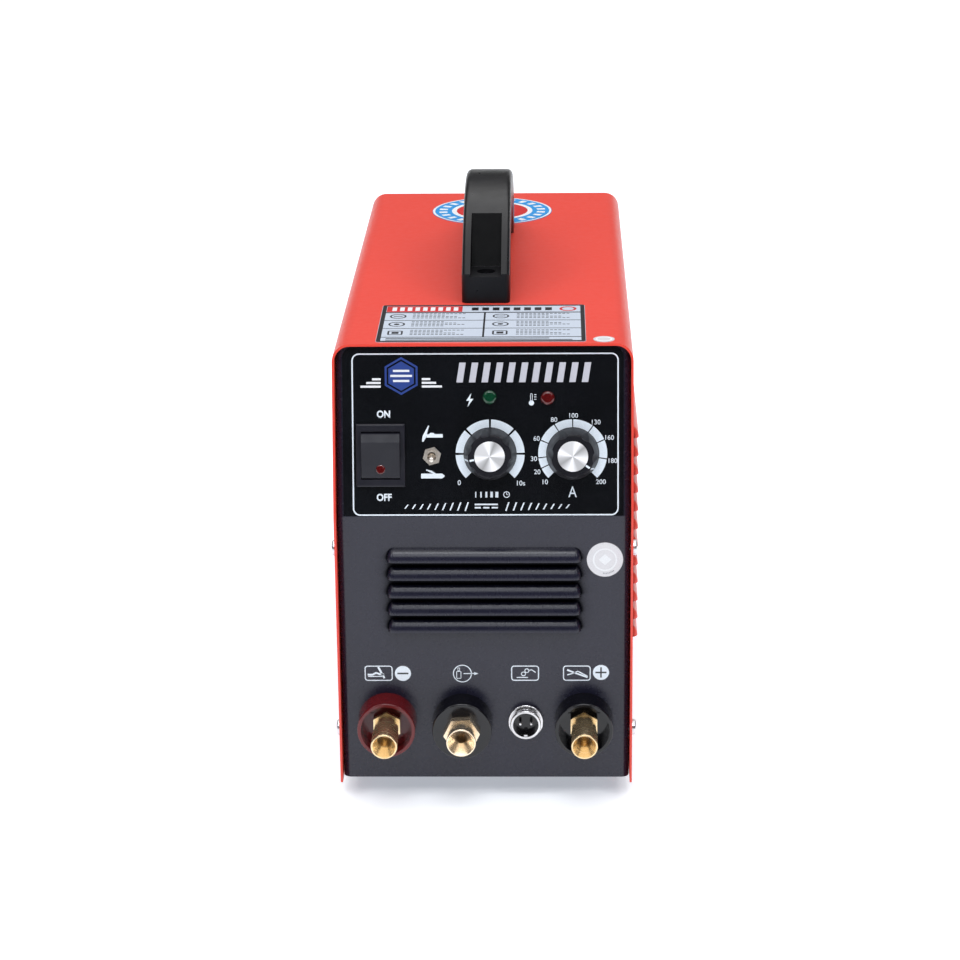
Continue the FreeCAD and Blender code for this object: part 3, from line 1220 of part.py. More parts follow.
def make_gas_valve():
    """Gas valve: bracketed body with two hose spigots, coil housing above, bore for the plunger."""
    x, z = GAS_INLET_AT[0], RIM_Z + GAS_INLET_AT[1]
    y0, y1 = VALVE_SPAN
    middle = (y0 + y1) / 2
    bracket_top = z - 12
    body = box(x - 10, x + 10, y0, y1, bracket_top, z + 10)
    bracket = box(x - 10, x + 5, y0, y1, TRAY_Z + SHEET, bracket_top)
    coil = rod(9.5, Vector(x, middle, z + 9), Vector(x, middle, z + 34))
    spigot = rod(HOSE_BORE_RADIUS - 0.03, Vector(x, y0 - 10, z), Vector(x, y1 + 10, z))
    valve = fuse([body, bracket, coil, spigot])
    valve = valve.cut(rod(1.6, Vector(x, y0 - 11, z), Vector(x, y1 + 11, z)))
    return valve.cut(rod(PLUNGER_RADIUS + 0.05, Vector(x, middle, z + 2), Vector(x, middle, z + 28)))


def make_valve_plunger():
    """Plunger of the gas valve, resting on its seat."""
    x, z = GAS_INLET_AT[0], RIM_Z + GAS_INLET_AT[1]
    middle = sum(VALVE_SPAN) / 2
    return rod(PLUNGER_RADIUS, Vector(x, middle, z + 2.05), Vector(x, middle, z + 24.0))


def bent_path(points):
    """Straight runs joined by the largest tangent arcs that fit."""
    edges = []
    here = points[0]
    for before, corner, after in zip(points, points[1:], points[2:]):
        into = (corner - before).normalize()
        out = (after - corner).normalize()
        reach = 0.45 * min((corner - before).Length, (after - corner).Length)
        start, end = corner - into * reach, corner + out * reach
        turn = into.getAngle(out)
        radius = reach / math.tan(turn / 2)
        inward = (out - into).normalize()
        middle = corner + inward * (radius / math.cos(turn / 2) - radius)
        edges.append(Part.LineSegment(here, start).toShape())
        edges.append(Part.Arc(start, middle, end).toShape())
        here = end
    edges.append(Part.LineSegment(here, points[-1]).toShape())
    return Part.Wire(edges)


def hose(points):
    """A gas hose along a route."""
    path = bent_path(points)
    along = (points[1] - points[0]).normalize()
    circles = [Part.Circle(points[0], along, radius) for radius in (HOSE_RADIUS, HOSE_BORE_RADIUS)]
    rings = [Part.Wire([circle.toShape()]) for circle in circles]
    outer = path.makePipeShell([rings[0]], True, True)
    inner = path.makePipeShell([rings[1]], True, True)
    return outer.cut(inner)


def make_hose_in():
    """Hose from the gas inlet to the valve."""
    x, z = GAS_INLET_AT[0], RIM_Z + GAS_INLET_AT[1]
    start = Vector(x, VALVE_SPAN[1] + 0.1, z)
    end = Vector(x, REAR_PANEL_Y - 9.0, z)
    return pipe(HOSE_RADIUS, HOSE_BORE_RADIUS, start, end)


def make_hose_out():
    """Hose from the valve under the board to the gas outlet."""
    x, z = GAS_INLET_AT[0], RIM_Z + GAS_INLET_AT[1]
    outlet_z = RIM_Z + OUTLET_HEIGHT
    return hose([
        Vector(x, VALVE_SPAN[0] - 0.1, z),
        Vector(x, 92, z),
        Vector(30, 40, z - 2),
        Vector(4, -20, z - 2),
        Vector(GAS_X, -75, z - 2),
        Vector(GAS_X - 0.5, -120, z + 1),
        Vector(GAS_X, -143, outlet_z),
        Vector(GAS_X, PANEL_Y + 12.1, outlet_z),
    ])


# ---------------------------------------------------------------- write every piece
def main():
    os.makedirs("parts", exist_ok=True)
    handle = make_handle()
    write("outer_cover", make_cover())
    write("front_panel", make_front_panel())
    write("control_overlay", make_overlay())
    write("rear_panel", make_rear_panel())
    write("base_tray", make_tray())
    write("carry_handle", handle)
    write("handle_screws", *make_handle_screws())
    write("handle_nuts", *make_handle_nuts())
    write("cover_screws", *make_cover_screws())
    write("flange_screws", *make_flange_screws())
    write("rubber_feet", *make_feet())
    write("foot_screws", *make_foot_screws())
    write("top_label", make_top_label())
    write("top_badge", make_top_badge(handle))
    write("round_stickers", make_top_sticker(), make_front_sticker())

    write("power_switch_housing", make_switch_housing())
    write("power_switch_rocker", make_rocker())
    write("power_switch_lens", make_rocker_lens())
    write("mode_switch_body", make_toggle_body())
    write("mode_switch_lever", make_toggle_lever())
    dials = (("gas_time", GAS_DIAL_AT, GAS_POINTER_DEG), ("current", CURRENT_DIAL_AT, CURRENT_POINTER_DEG))
    for name, place, pointer_deg in dials:
        write(f"{name}_spindle", make_spindle(place))
        write(f"{name}_knob", make_knob(place, pointer_deg))
        write(f"{name}_knob_cap", make_knob_cap(place))
    places = (GAS_DIAL_AT, CURRENT_DIAL_AT)
    write("potentiometers", *[make_pot(place) for place in places])
    write("control_nuts", make_toggle_nut(), *[make_pot_nut(place) for place in places])
    write("power_lamp", make_lamp(GREEN_LAMP_AT))
    write("overload_lamp", make_lamp(RED_LAMP_AT))

    for name, side in (("negative", -1), ("positive", 1)):
        write(f"{name}_insulator", make_cup(side))
    write("terminal_studs", make_stud(-1), make_stud(1))
    write("panel_back_nuts", *make_terminal_nuts(), make_gas_nut(), make_socket_nut())
    write("gas_outlet_insulator", make_gas_insulator())
    write("gas_outlet_fitting", make_gas_outlet())
    write("control_socket_shell", make_socket_shell())
    write("control_socket_insert", make_socket_insert())
    write("control_socket_pins", *make_socket_pins())

    write("fan_frame", make_fan_frame())
    write("fan_rotor", make_fan_rotor())
    write("fan_guard", make_fan_guard())
    write("fan_screws", *make_fan_screws())
    write("mains_gland", make_gland())
    write("gas_inlet", make_gas_inlet())
    write("earth_stud", make_earth_stud())

    write("power_board", make_power_board())
    write("standoffs", *make_standoffs(), *make_control_standoffs())
    write("control_board", make_control_board())
    write("heat_sinks", *make_heat_sinks())
    write("power_modules", *make_power_modules())
    write("capacitors", *make_capacitors())
    write("transformer_core", make_transformer_core())
    write("transformer_winding", make_transformer_winding())
    write("output_choke", make_output_choke())
    write("arc_start_coil", make_arc_start_coil())
    write("output_busbars", *make_busbars())
    write("gas_valve", make_gas_valve())
    write("gas_valve_plunger", make_valve_plunger())
    write("gas_hoses", make_hose_in(), make_hose_out())


main()
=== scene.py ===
import json
import math
import bmesh
import bpy
from mathutils import Matrix, Vector
from mathutils.geometry import tessellate_polygon


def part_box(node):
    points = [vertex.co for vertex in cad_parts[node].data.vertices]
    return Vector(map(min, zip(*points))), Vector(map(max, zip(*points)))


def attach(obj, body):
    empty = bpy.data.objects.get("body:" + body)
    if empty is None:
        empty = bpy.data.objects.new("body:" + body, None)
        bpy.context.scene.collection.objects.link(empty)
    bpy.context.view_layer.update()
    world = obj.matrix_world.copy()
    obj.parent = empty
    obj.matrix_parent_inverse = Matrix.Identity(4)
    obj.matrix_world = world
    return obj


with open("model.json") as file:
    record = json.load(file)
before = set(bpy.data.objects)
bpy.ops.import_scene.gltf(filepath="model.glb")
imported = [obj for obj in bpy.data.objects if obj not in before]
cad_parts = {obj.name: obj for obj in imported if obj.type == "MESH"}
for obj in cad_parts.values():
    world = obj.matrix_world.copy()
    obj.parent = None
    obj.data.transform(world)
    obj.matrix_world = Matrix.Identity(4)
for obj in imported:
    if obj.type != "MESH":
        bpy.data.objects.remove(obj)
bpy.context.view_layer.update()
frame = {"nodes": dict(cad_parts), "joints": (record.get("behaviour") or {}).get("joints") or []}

MM = 0.001
scene = bpy.context.scene
nodes = frame["nodes"]
joints = {joint["name"]: joint for joint in frame["joints"]}

# ---------------------------------------------------------------- places, most of them from the frame
COVER_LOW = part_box("outer_cover")[0]
CASE_FRONT = COVER_LOW.y
RIM_Z = COVER_LOW.z
PANEL_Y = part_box("gas_outlet_insulator")[1].y       # outer face of the upright panel
DIAL_UP = 32.6 * MM                                 # dial centres above the kink, along the slope
INWARD = Vector(joints["gas_time_control"]["axis"])
SLOPE_OUT = -INWARD
SLOPE_UP = Vector((0, SLOPE_OUT.z, -SLOPE_OUT.y))
GAS_DIAL = Vector(joints["gas_time_control"]["pos_m"])
CURRENT_DIAL = Vector(joints["current_control"]["pos_m"])
KINK = GAS_DIAL - SLOPE_UP * DIAL_UP
KINK.x = 0.0
FILM = 0.35 * MM                                    # thickness of the overlay film
INK = 0.04 * MM                                     # thickness of printed marks
LABEL_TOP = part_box("top_label")[1].z
# Bounds of the handle's screw pockets, where the handle's colour carries painted shade.
POCKET_START = 53.4 * MM                            # screw pockets lie beyond this from the handle's middle
POCKET_HALF_WIDTH = 8.3 * MM
POCKET_FLOOR = 14.55 * MM                           # above the handle's feet


class Plane:
    """A flat place to print on: right, up and out directions from an origin."""

    def __init__(self, origin, right, up, out):
        self.matrix = Matrix((right, up, out)).transposed().to_4x4()
        self.matrix.translation = origin


SLOPE = Plane(KINK + SLOPE_OUT * FILM, Vector((1, 0, 0)), SLOPE_UP, SLOPE_OUT)
FACE = Plane(Vector((0, PANEL_Y, RIM_Z)), Vector((1, 0, 0)), Vector((0, 0, 1)), Vector((0, -1, 0)))
TOP = Plane(Vector((0, CASE_FRONT, LABEL_TOP)), Vector((1, 0, 0)), Vector((0, 1, 0)), Vector((0, 0, 1)))


# ---------------------------------------------------------------- materials
# Painted shade: folds closed in from above and below get a darker, duller colour than the paint's own.
CREVICE = (0.66, 0.86)     # openness of a fold that is wholly dark, and of one that is wholly lit
CREVICE_REACH = 0.014      # how far away a wall still closes a fold


class Shader:
    """A node material under construction."""

    def __init__(self, name, color, roughness=0.5, metallic=0.0, **more):
        self.material = bpy.data.materials.new(name)
        self.material.use_nodes = True
        self.tree = self.material.node_tree
        self.bsdf = self.tree.nodes["Principled BSDF"]
        self.set("Base Color", (*color, 1.0))
        self.set("Roughness", roughness)
        self.set("Metallic", metallic)
        for key, value in more.items():
            self.set(key.replace("_", " "), value)
        self.coords = self.tree.nodes.new("ShaderNodeTexCoord").outputs["Object"]
        self.height = None

    def set(self, name, value):
        self.bsdf.inputs[name].default_value = value

    def link(self, output, node_input):
        self.tree.links.new(output, node_input)

    def stretched(self, scale):
        """Object coordinates stretched by a vector."""
        mapping = self.tree.nodes.new("ShaderNodeMapping")
        mapping.inputs["Scale"].default_value = scale
        self.link(self.coords, mapping.inputs["Vector"])
        return mapping.outputs["Vector"]

    def noise(self, scale, detail=2.0, coords=None, rough=0.5):
        """A noise value from 0 to 1. scale is in features per metre."""
        node = self.tree.nodes.new("ShaderNodeTexNoise")
        node.inputs["Scale"].default_value = scale
        node.inputs["Detail"].default_value = detail
        node.inputs["Roughness"].default_value = rough
        self.link(coords or self.coords, node.inputs["Vector"])
        return node.outputs["Fac"]

    def ramp(self, value, low, high, stops):
        """A value mapped between two greys or colours."""
        node = self.tree.nodes.new("ShaderNodeValToRGB")
        for element, place, colour in zip(node.color_ramp.elements, stops, (low, high)):
            element.position = place
            element.color = colour if isinstance(colour, tuple) else (colour, colour, colour, 1.0)
        self.link(value, node.inputs["Fac"])
        return node.outputs["Color"]

    def vary_color(self, value, low, high, stops=(0.35, 0.65)):
        """Base colour between two colours."""
        self.link(self.ramp(value, (*low, 1.0), (*high, 1.0), stops), self.bsdf.inputs["Base Color"])

    def vary_roughness(self, value, low, high):
        """Roughness between two values."""
        self.link(self.ramp(value, low, high, (0.3, 0.7)), self.bsdf.inputs["Roughness"])

    def bump(self, value, distance, strength=1.0):
        """Add a fine relief. Distance in metres."""
        node = self.tree.nodes.new("ShaderNodeBump")
        node.inputs["Distance"].default_value = distance
        node.inputs["Strength"].default_value = strength
        self.link(value, node.inputs["Height"])
        if self.height is not None:
            self.link(self.height, node.inputs["Normal"])
        self.height = node.outputs["Normal"]
        self.link(self.height, self.bsdf.inputs["Normal"])

    def openness(self, lift):
        """How free the surface is towards a side: the normal raised or lowered by lift."""
        normal = self.tree.nodes.new("ShaderNodeNewGeometry").outputs["Normal"]
        tilted = self.tree.nodes.new("ShaderNodeVectorMath")
        tilted.operation = "ADD"
        tilted.inputs[1].default_value = (0.0, 0.0, lift)
        self.link(normal, tilted.inputs[0])
        unit = self.tree.nodes.new("ShaderNodeVectorMath")
        unit.operation = "NORMALIZE"
        self.link(tilted.outputs["Vector"], unit.inputs[0])
        node = self.tree.nodes.new("ShaderNodeAmbientOcclusion")
        node.only_local = True
        node.samples = 12
        node.inputs["Distance"].default_value = CREVICE_REACH
        self.link(unit.outputs["Vector"], node.inputs["Normal"])
        return node.outputs["AO"]

    def shade_crevices(self, gloss, coat):
        """Painted shade: darken the colour and dull the gloss and coat in folds that are closed in from
        above and from below.
        """
        open_side = self.tree.nodes.new("ShaderNodeMath")
        open_side.operation = "MAXIMUM"
        self.link(self.openness(0.8), open_side.inputs[0])
        self.link(self.openness(-0.8), open_side.inputs[1])
        free = open_side.outputs[0]
        mix = self.tree.nodes.new("ShaderNodeMix")
        mix.data_type = "RGBA"
        color = self.bsdf.inputs["Base Color"]
        # Painted shade: in a wholly closed fold the colour drops to 0.12 of the paint's own.
        mix.inputs["A"].default_value = tuple(c * 0.12 for c in color.default_value[:3]) + (1.0,)
        self.link(color.links[0].from_socket, mix.inputs["B"])
        self.link(self.ramp(free, 0.0, 1.0, CREVICE), mix.inputs["Factor"])
        self.link(mix.outputs["Result"], color)
        self.link(self.ramp(free, gloss * 0.05, gloss, CREVICE), self.bsdf.inputs["Specular IOR Level"])
        self.link(self.ramp(free, 0.0, coat, CREVICE), self.bsdf.inputs["Coat Weight"])


def powder_coat(name, color, dark, roughness, coat, gloss):
    """Powder-coated steel: slight mottling, orange-peel relief, and painted shade that makes it dark and
    dull in the folds.
    """
    shader = Shader(name, color, roughness, Coat_Roughness=0.22)
    shader.vary_color(shader.noise(14.0, 3.0), dark, color, (0.2, 0.75))
    shader.shade_crevices(gloss, coat)
    shader.vary_roughness(shader.noise(260.0, 3.0), roughness - 0.03, roughness + 0.03)
    shader.bump(shader.noise(900.0, 2.0), 0.00002, 0.35)
    return shader.material


def moulded(name, color, light, roughness, grain=3500.0, relief=0.00003, **more):
    """Moulded plastic with a fine spark-eroded grain."""
    shader = Shader(name, color, roughness, **more)
    shader.vary_color(shader.noise(45.0, 4.0), color, light)
    shader.vary_roughness(shader.noise(160.0, 3.0), roughness - 0.05, roughness + 0.08)
    shader.bump(shader.noise(grain, 2.0), relief, 0.4)
    return shader.material


def machined(name, color, dark, roughness, stretch, metallic=1.0, relief=0.00002, spread=0.08):
    """Machined or plated metal: fine lines along one direction and faint stains."""
    shader = Shader(name, color, roughness, metallic)
    lines = shader.noise(1.0, 3.0, shader.stretched(stretch), 0.6)
    shader.vary_color(shader.noise(120.0, 2.0), dark, color, (0.25, 0.6))
    shader.vary_roughness(lines, roughness - spread, roughness + spread)
    shader.bump(lines, relief, 0.5)
    return shader.material


def spun(name, centre, node, turn):
    """Spun metal cap: concentric turning lines, and radial fans of painted reflection, light and dark about
    its centre, which also glow faintly.
    """
    shader = Shader(name, (0.8, 0.8, 0.82), 0.32, 0.12)
    to_node = node.matrix_world.inverted()
    spokes = Matrix((Vector((1, 0, 0)), SLOPE_UP, SLOPE_OUT)).transposed()
    mapping = shader.tree.nodes.new("ShaderNodeMapping")
    mapping.vector_type = "TEXTURE"
    mapping.inputs["Location"].default_value = to_node @ centre
    mapping.inputs["Rotation"].default_value = (to_node.to_3x3() @ spokes).to_euler()
    shader.link(shader.coords, mapping.inputs["Vector"])
    angle = shader.tree.nodes.new("ShaderNodeTexGradient")
    angle.gradient_type = "RADIAL"
    shader.link(mapping.outputs["Vector"], angle.inputs["Vector"])
    # Painted reflection: greys of the radial fans, put into the base colour.
    fans = shader.tree.nodes.new("ShaderNodeValToRGB")
    stops = fans.color_ramp.elements
    places = ((0.0, 0.62), (0.06, 1.0), (0.13, 0.52), (0.20, 0.34), (0.29, 0.74), (0.34, 1.0), (0.42, 0.48),
              (0.50, 0.46), (0.56, 1.0), (0.64, 0.60), (0.72, 0.32), (0.80, 1.0), (0.87, 0.64), (1.0, 0.62))
    for index, (place, grey) in enumerate(places):
        stop = stops[index] if index < 2 else stops.new(place)
        stop.position = place
        stop.color = (grey, grey, grey * 1.02, 1.0)
    turned = shader.tree.nodes.new("ShaderNodeMath")
    turned.operation = "ADD"
    turned.inputs[1].default_value = turn
    wrapped = shader.tree.nodes.new("ShaderNodeMath")
    wrapped.operation = "FRACT"
    shader.link(angle.outputs["Fac"], turned.inputs[0])
    shader.link(turned.outputs[0], wrapped.inputs[0])
    shader.link(wrapped.outputs[0], fans.inputs["Fac"])
    shader.link(fans.outputs["Color"], shader.bsdf.inputs["Base Color"])
    # Painted glow: the fans also emit light, though the cap is no lamp.
    shader.link(fans.outputs["Color"], shader.bsdf.inputs["Emission Color"])
    shader.set("Emission Strength", 0.16)
    rings = shader.tree.nodes.new("ShaderNodeTexWave")
    rings.wave_type = "RINGS"
    rings.rings_direction = "Z"
    rings.inputs["Scale"].default_value = 700.0
    rings.inputs["Distortion"].default_value = 0.6
    shader.link(mapping.outputs["Vector"], rings.inputs["Vector"])
    shader.bump(rings.outputs["Fac"], 0.00001, 0.12)
    return shader.material


def translucent(name, color, glow):
    """Tinted clear plastic with a faint inner glow."""
    shader = Shader(name, color, 0.12, Transmission_Weight=0.25, IOR=1.49,
                    Coat_Weight=0.6, Coat_Roughness=0.05)
    shader.set("Emission Color", (*color, 1.0))
    shader.set("Emission Strength", glow)
    shader.vary_color(shader.noise(700.0, 2.0), tuple(c * 0.7 for c in color), color)
    return shader.material


def printed(name, color, roughness=0.35):
    """Screen-printed ink: slightly uneven density and a fine screen relief."""
    shader = Shader(name, color, roughness)
    shader.vary_color(shader.noise(2200.0, 2.0), tuple(c * 0.9 for c in color), color)
    shader.bump(shader.noise(6000.0, 1.0), 0.00001, 0.3)
    return shader.material


RED_PAINT = powder_coat("red_powder_coat", (0.80, 0.064, 0.042), (0.77, 0.060, 0.039), 0.38, 0.15, 0.4)
GREY_PAINT = powder_coat("charcoal_powder_coat", (0.012, 0.012, 0.026), (0.011, 0.011, 0.024),
                         0.27, 0.2, 0.4)
BLACK_MOULDING = moulded("black_moulding", (0.006, 0.006, 0.010), (0.009, 0.009, 0.014), 0.33)
SWITCH_BLACK = moulded("switch_black", (0.011, 0.011, 0.017), (0.013, 0.013, 0.020), 0.33,
                       Specular_IOR_Level=0.34)
CUP_BLACK = moulded("insulator_black", (0.004, 0.004, 0.006), (0.006, 0.006, 0.008), 0.10, relief=0.00001)
CUP_RED = moulded("insulator_red", (0.110, 0.008, 0.010), (0.130, 0.010, 0.012), 0.11, relief=0.00001)
KNOB_BLACK = moulded("knob_black", (0.005, 0.005, 0.008), (0.008, 0.008, 0.012), 0.4, 1500.0, 0.000004,
                     Specular_IOR_Level=0.26)
GREY_PLASTIC = moulded("inner_plastic", (0.03, 0.03, 0.033), (0.04, 0.04, 0.044), 0.5)
TURNED_LINES = (90.0, 1500.0, 90.0)
BRASS = machined("machined_brass", (0.90, 0.70, 0.42), (0.82, 0.61, 0.34), 0.22, TURNED_LINES,
                 0.9, 0.0000012)
PALE_BRASS = machined("pale_brass", (0.96, 0.80, 0.60), (0.90, 0.72, 0.50), 0.2, TURNED_LINES,
                      0.9, 0.0000012)
NICKEL = machined("nickel_plate", (0.84, 0.77, 0.69), (0.79, 0.72, 0.63), 0.3, (90.0, 90.0, 90.0),
                  0.8, 0.000001, 0.03)
ZINC = machined("zinc_plate", (0.74, 0.74, 0.76), (0.60, 0.61, 0.64), 0.28, (300.0, 300.0, 300.0),
                1.0, 0.000004)
CHROME = machined("bright_chrome", (0.78, 0.77, 0.78), (0.45, 0.44, 0.45), 0.2, (200.0, 2600.0, 200.0))
COPPER = machined("enamelled_copper", (0.70, 0.26, 0.11), (0.52, 0.17, 0.07), 0.32, (60.0, 60.0, 1900.0))
ALUMINIUM = machined("extruded_aluminium", (0.80, 0.81, 0.83), (0.66, 0.67, 0.70), 0.34,
                     (900.0, 60.0, 900.0))
RUBBER = moulded("foot_rubber", (0.016, 0.016, 0.016), (0.026, 0.026, 0.026), 0.75, 1800.0, 0.00006)
BOARD_GREEN = moulded("solder_mask", (0.010, 0.10, 0.035), (0.016, 0.15, 0.05), 0.3, 900.0)
GREEN_LENS = translucent("green_lens", (0.002, 0.065, 0.026), 0.035)
RED_LENS = translucent("red_lens", (0.13, 0.003, 0.004), 0.03)
PALE_INK = printed("pale_ink", (0.86, 0.93, 1.0))
DIAL_INK = printed("dial_ink", (0.84, 0.92, 1.0))
SILVER_INK = printed("silver_ink", (0.58, 0.58, 0.64), 0.3)
BLUE_INK = printed("blue_ink", (0.020, 0.30, 0.72))
NAVY_INK = printed("navy_ink", (0.022, 0.055, 0.26))
LABEL_PAPER = printed("label_paper", (0.58, 0.64, 0.74))
WHITE_PRINT = printed("white_print", (0.86, 0.87, 0.89))
GREY_PRINT = printed("grey_print", (0.22, 0.23, 0.26))
BLACK_PRINT = printed("black_print", (0.012, 0.012, 0.015))
RED_PRINT = printed("red_print", (0.62, 0.02, 0.02))
PEARL_PRINT = printed("pearl_print", (0.74, 0.73, 0.75), 0.25)


def handle_black():
    """Satin black grip, with painted shade: a near-black colour and almost no gloss in the deep screw
    pockets at both ends.
    """
    grip, grip_light, pocket_shade = (0.006, 0.006, 0.007), (0.009, 0.009, 0.011), (0.0012, 0.0012, 0.0016)
    shader = Shader("handle_black", grip, 0.32)
    shader.vary_color(shader.noise(45.0, 4.0), grip, grip_light)
    shader.vary_roughness(shader.noise(160.0, 3.0), 0.27, 0.36)
    shader.bump(shader.noise(3500.0, 2.0), 0.00003, 0.4)
    split = shader.tree.nodes.new("ShaderNodeSeparateXYZ")
    shader.link(shader.coords, split.inputs["Vector"])

    def measure(source, operation, value):
        """One step of mathematics on a value."""
        node = shader.tree.nodes.new("ShaderNodeMath")
        node.operation = operation
        node.inputs[1].default_value = value
        shader.link(source, node.inputs[0])
        return node.outputs[0]

    low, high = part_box("carry_handle")
    to_middle = measure(split.outputs["Y"], "SUBTRACT", (low.y + high.y) / 2)
    masks = (measure(measure(split.outputs["X"], "ABSOLUTE", 0.0), "LESS_THAN", POCKET_HALF_WIDTH),
             measure(measure(to_middle, "ABSOLUTE", 0.0), "GREATER_THAN", POCKET_START),
             measure(split.outputs["Z"], "GREATER_THAN", low.z + POCKET_FLOOR))
    inside = masks[0]
    for mask in masks[1:]:
        node = shader.tree.nodes.new("ShaderNodeMath")
        node.operation = "MULTIPLY"
        shader.link(inside, node.inputs[0])
        shader.link(mask, node.inputs[1])
        inside = node.outputs[0]
    # Painted shade: inside the pockets the colour turns near black and the gloss nearly vanishes.
    color = shader.bsdf.inputs["Base Color"]
    shaded = shader.tree.nodes.new("ShaderNodeMix")
    shaded.data_type = "RGBA"
    shader.link(inside, shaded.inputs["Factor"])
    shader.link(color.links[0].from_socket, shaded.inputs["A"])
    shaded.inputs["B"].default_value = (*pocket_shade, 1.0)
    shader.link(shaded.outputs["Result"], color)
    gloss = shader.ramp(inside, 0.26, 0.04, (0.0, 1.0))
    shader.link(gloss, shader.bsdf.inputs["Specular IOR Level"])
    return shader.material


HANDLE_BLACK = handle_black()


def overlay_film():
    """Gloss film: near black with faint dust and a slightly wavy surface."""
    shader = Shader("overlay_film", (0.003, 0.0036, 0.0052), 0.14)
    shader.vary_color(shader.noise(30.0, 4.0), (0.0026, 0.0032, 0.0046), (0.0042, 0.0050, 0.0070))
    shader.vary_roughness(shader.noise(400.0, 4.0), 0.12, 0.18)
    shader.bump(shader.noise(150.0, 1.0), 0.00003, 0.25)
    return shader.material


OVERLAY_FILM = overlay_film()


# ---------------------------------------------------------------- building pieces
def add_piece(name, bm, material, body):
    """Make an object from a bmesh, on a CAD body."""
    bmesh.ops.recalc_face_normals(bm, faces=bm.faces)
    mesh = bpy.data.meshes.new(name)
    bm.to_mesh(mesh)
    bm.free()
    mesh.materials.append(material)
    piece = bpy.data.objects.new(name, mesh)
    scene.collection.objects.link(piece)
    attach(piece, body)


def arc_points(cx, cy, radius, start_deg, end_deg, count):
    """Points along a circular arc, ends included."""
    angles = [math.radians(start_deg + (end_deg - start_deg) * i / count) for i in range(count + 1)]
    return [(cx + radius * math.cos(a), cy + radius * math.sin(a)) for a in angles]


def rounded_rect(x0, y0, x1, y1, radius, count=8):
    """Outline of a rectangle with round corners."""
    corners = ((x1 - radius, y1 - radius, 0), (x0 + radius, y1 - radius, 90),
               (x0 + radius, y0 + radius, 180), (x1 - radius, y0 + radius, 270))
    points = []
    for cx, cy, start in corners:
        points += arc_points(cx, cy, radius, start, start + 90, count)
    return points


class Print:
    """Marks printed on a plane, in millimetres, gathered into one thin piece."""

    def __init__(self, name, plane, material, lift=0.0):
        self.name, self.plane, self.material, self.lift = name, plane, material, lift
        self.bm = bmesh.new()

    def vertex(self, point):
        return self.bm.verts.new((point[0] * MM, point[1] * MM, self.lift))

    def fill(self, points):
        """A filled outline."""
        loop = [Vector((x, y, 0)) for x, y in points]
        verts = [self.vertex(point) for point in points]
        for triangle in tessellate_polygon([loop]):
            self.bm.faces.new([verts[i] for i in triangle])

    def strip(self, outer, inner, closed=True):
        """A band between two outlines with as many points."""
        a = [self.vertex(p) for p in outer]
        b = [self.vertex(p) for p in inner]
        count = len(a)
        for i in range(count if closed else count - 1):
            j = (i + 1) % count
            self.bm.faces.new((a[i], a[j], b[j], b[i]))

    def disc(self, cx, cy, radius, count=48):
        self.fill(arc_points(cx, cy, radius, 0, 360 - 360 / count, count - 1))

    def ring(self, cx, cy, outer, inner, start=0.0, end=360.0, count=64):
        if end - start >= 360:
            step = 360 / count
            self.strip(arc_points(cx, cy, outer, 0, 360 - step, count - 1),
                       arc_points(cx, cy, inner, 0, 360 - step, count - 1))
        else:
            self.strip(arc_points(cx, cy, outer, start, end, count),
                       arc_points(cx, cy, inner, start, end, count), closed=False)

    def bar(self, x0, y0, x1, y1):
        self.fill([(x0, y0), (x1, y0), (x1, y1), (x0, y1)])

    def frame(self, x0, y0, x1, y1, radius, width):
        self.strip(rounded_rect(x0, y0, x1, y1, radius),
                   rounded_rect(x0 + width, y0 + width, x1 - width, y1 - width, max(radius - width, 0.05)))

    def line(self, points, width):
        """A polyline of one width."""
        left, right = [], []
        for i, point in enumerate(points):
            before = points[max(i - 1, 0)]
            after = points[min(i + 1, len(points) - 1)]
            along = Vector((after[0] - before[0], after[1] - before[1])).normalized()
            side = Vector((-along.y, along.x)) * width / 2
            left.append((point[0] + side.x, point[1] + side.y))
            right.append((point[0] - side.x, point[1] - side.y))
        self.strip(left, right, closed=False)

    def text(self, words, cx, cy, size, stretch, weight):
        """Generic figures and letters, centred. size is the capitals' height, weight thickens them."""
        curve = bpy.data.curves.new("figures", "FONT")
        curve.body = words
        curve.size = 1.0
        curve.offset = weight
        curve.resolution_u = 4
        holder = bpy.data.objects.new("figures", curve)
        scene.collection.objects.link(holder)
        bpy.context.view_layer.update()
        mesh = bpy.data.meshes.new_from_object(holder.evaluated_get(bpy.context.evaluated_depsgraph_get()))
        bpy.data.objects.remove(holder)
        bpy.data.curves.remove(curve)
        low = Vector((min(v.co.x for v in mesh.vertices), min(v.co.y for v in mesh.vertices), 0))
        high = Vector((max(v.co.x for v in mesh.vertices), max(v.co.y for v in mesh.vertices), 0))
        scale = size / (high.y - low.y)
        middle = (low + high) / 2
        for vertex in mesh.vertices:
            local = (vertex.co - middle) * scale
            vertex.co = Vector(((local.x * stretch + cx) * MM, (local.y + cy) * MM, self.lift))
        self.bm.from_mesh(mesh)
        bpy.data.meshes.remove(mesh)

    def done(self):
        """Thicken the marks and place them."""
        bmesh.ops.remove_doubles(self.bm, verts=self.bm.verts, dist=1e-7)
        bmesh.ops.recalc_face_normals(self.bm, faces=self.bm.faces)
        for face in self.bm.faces:
            if face.normal.z < 0:
                face.normal_flip()
        top = bmesh.ops.extrude_face_region(self.bm, geom=self.bm.faces[:])
        raised = [item for item in top["geom"] if isinstance(item, bmesh.types.BMVert)]
        bmesh.ops.translate(self.bm, verts=raised, vec=(0, 0, INK))
        bmesh.ops.transform(self.bm, matrix=self.plane.matrix, verts=self.bm.verts)
        add_piece(self.name, self.bm, self.material, "case")


# ---------------------------------------------------------------- studio
COOL = (0.92, 0.95, 1.0)       # tint of the front lights


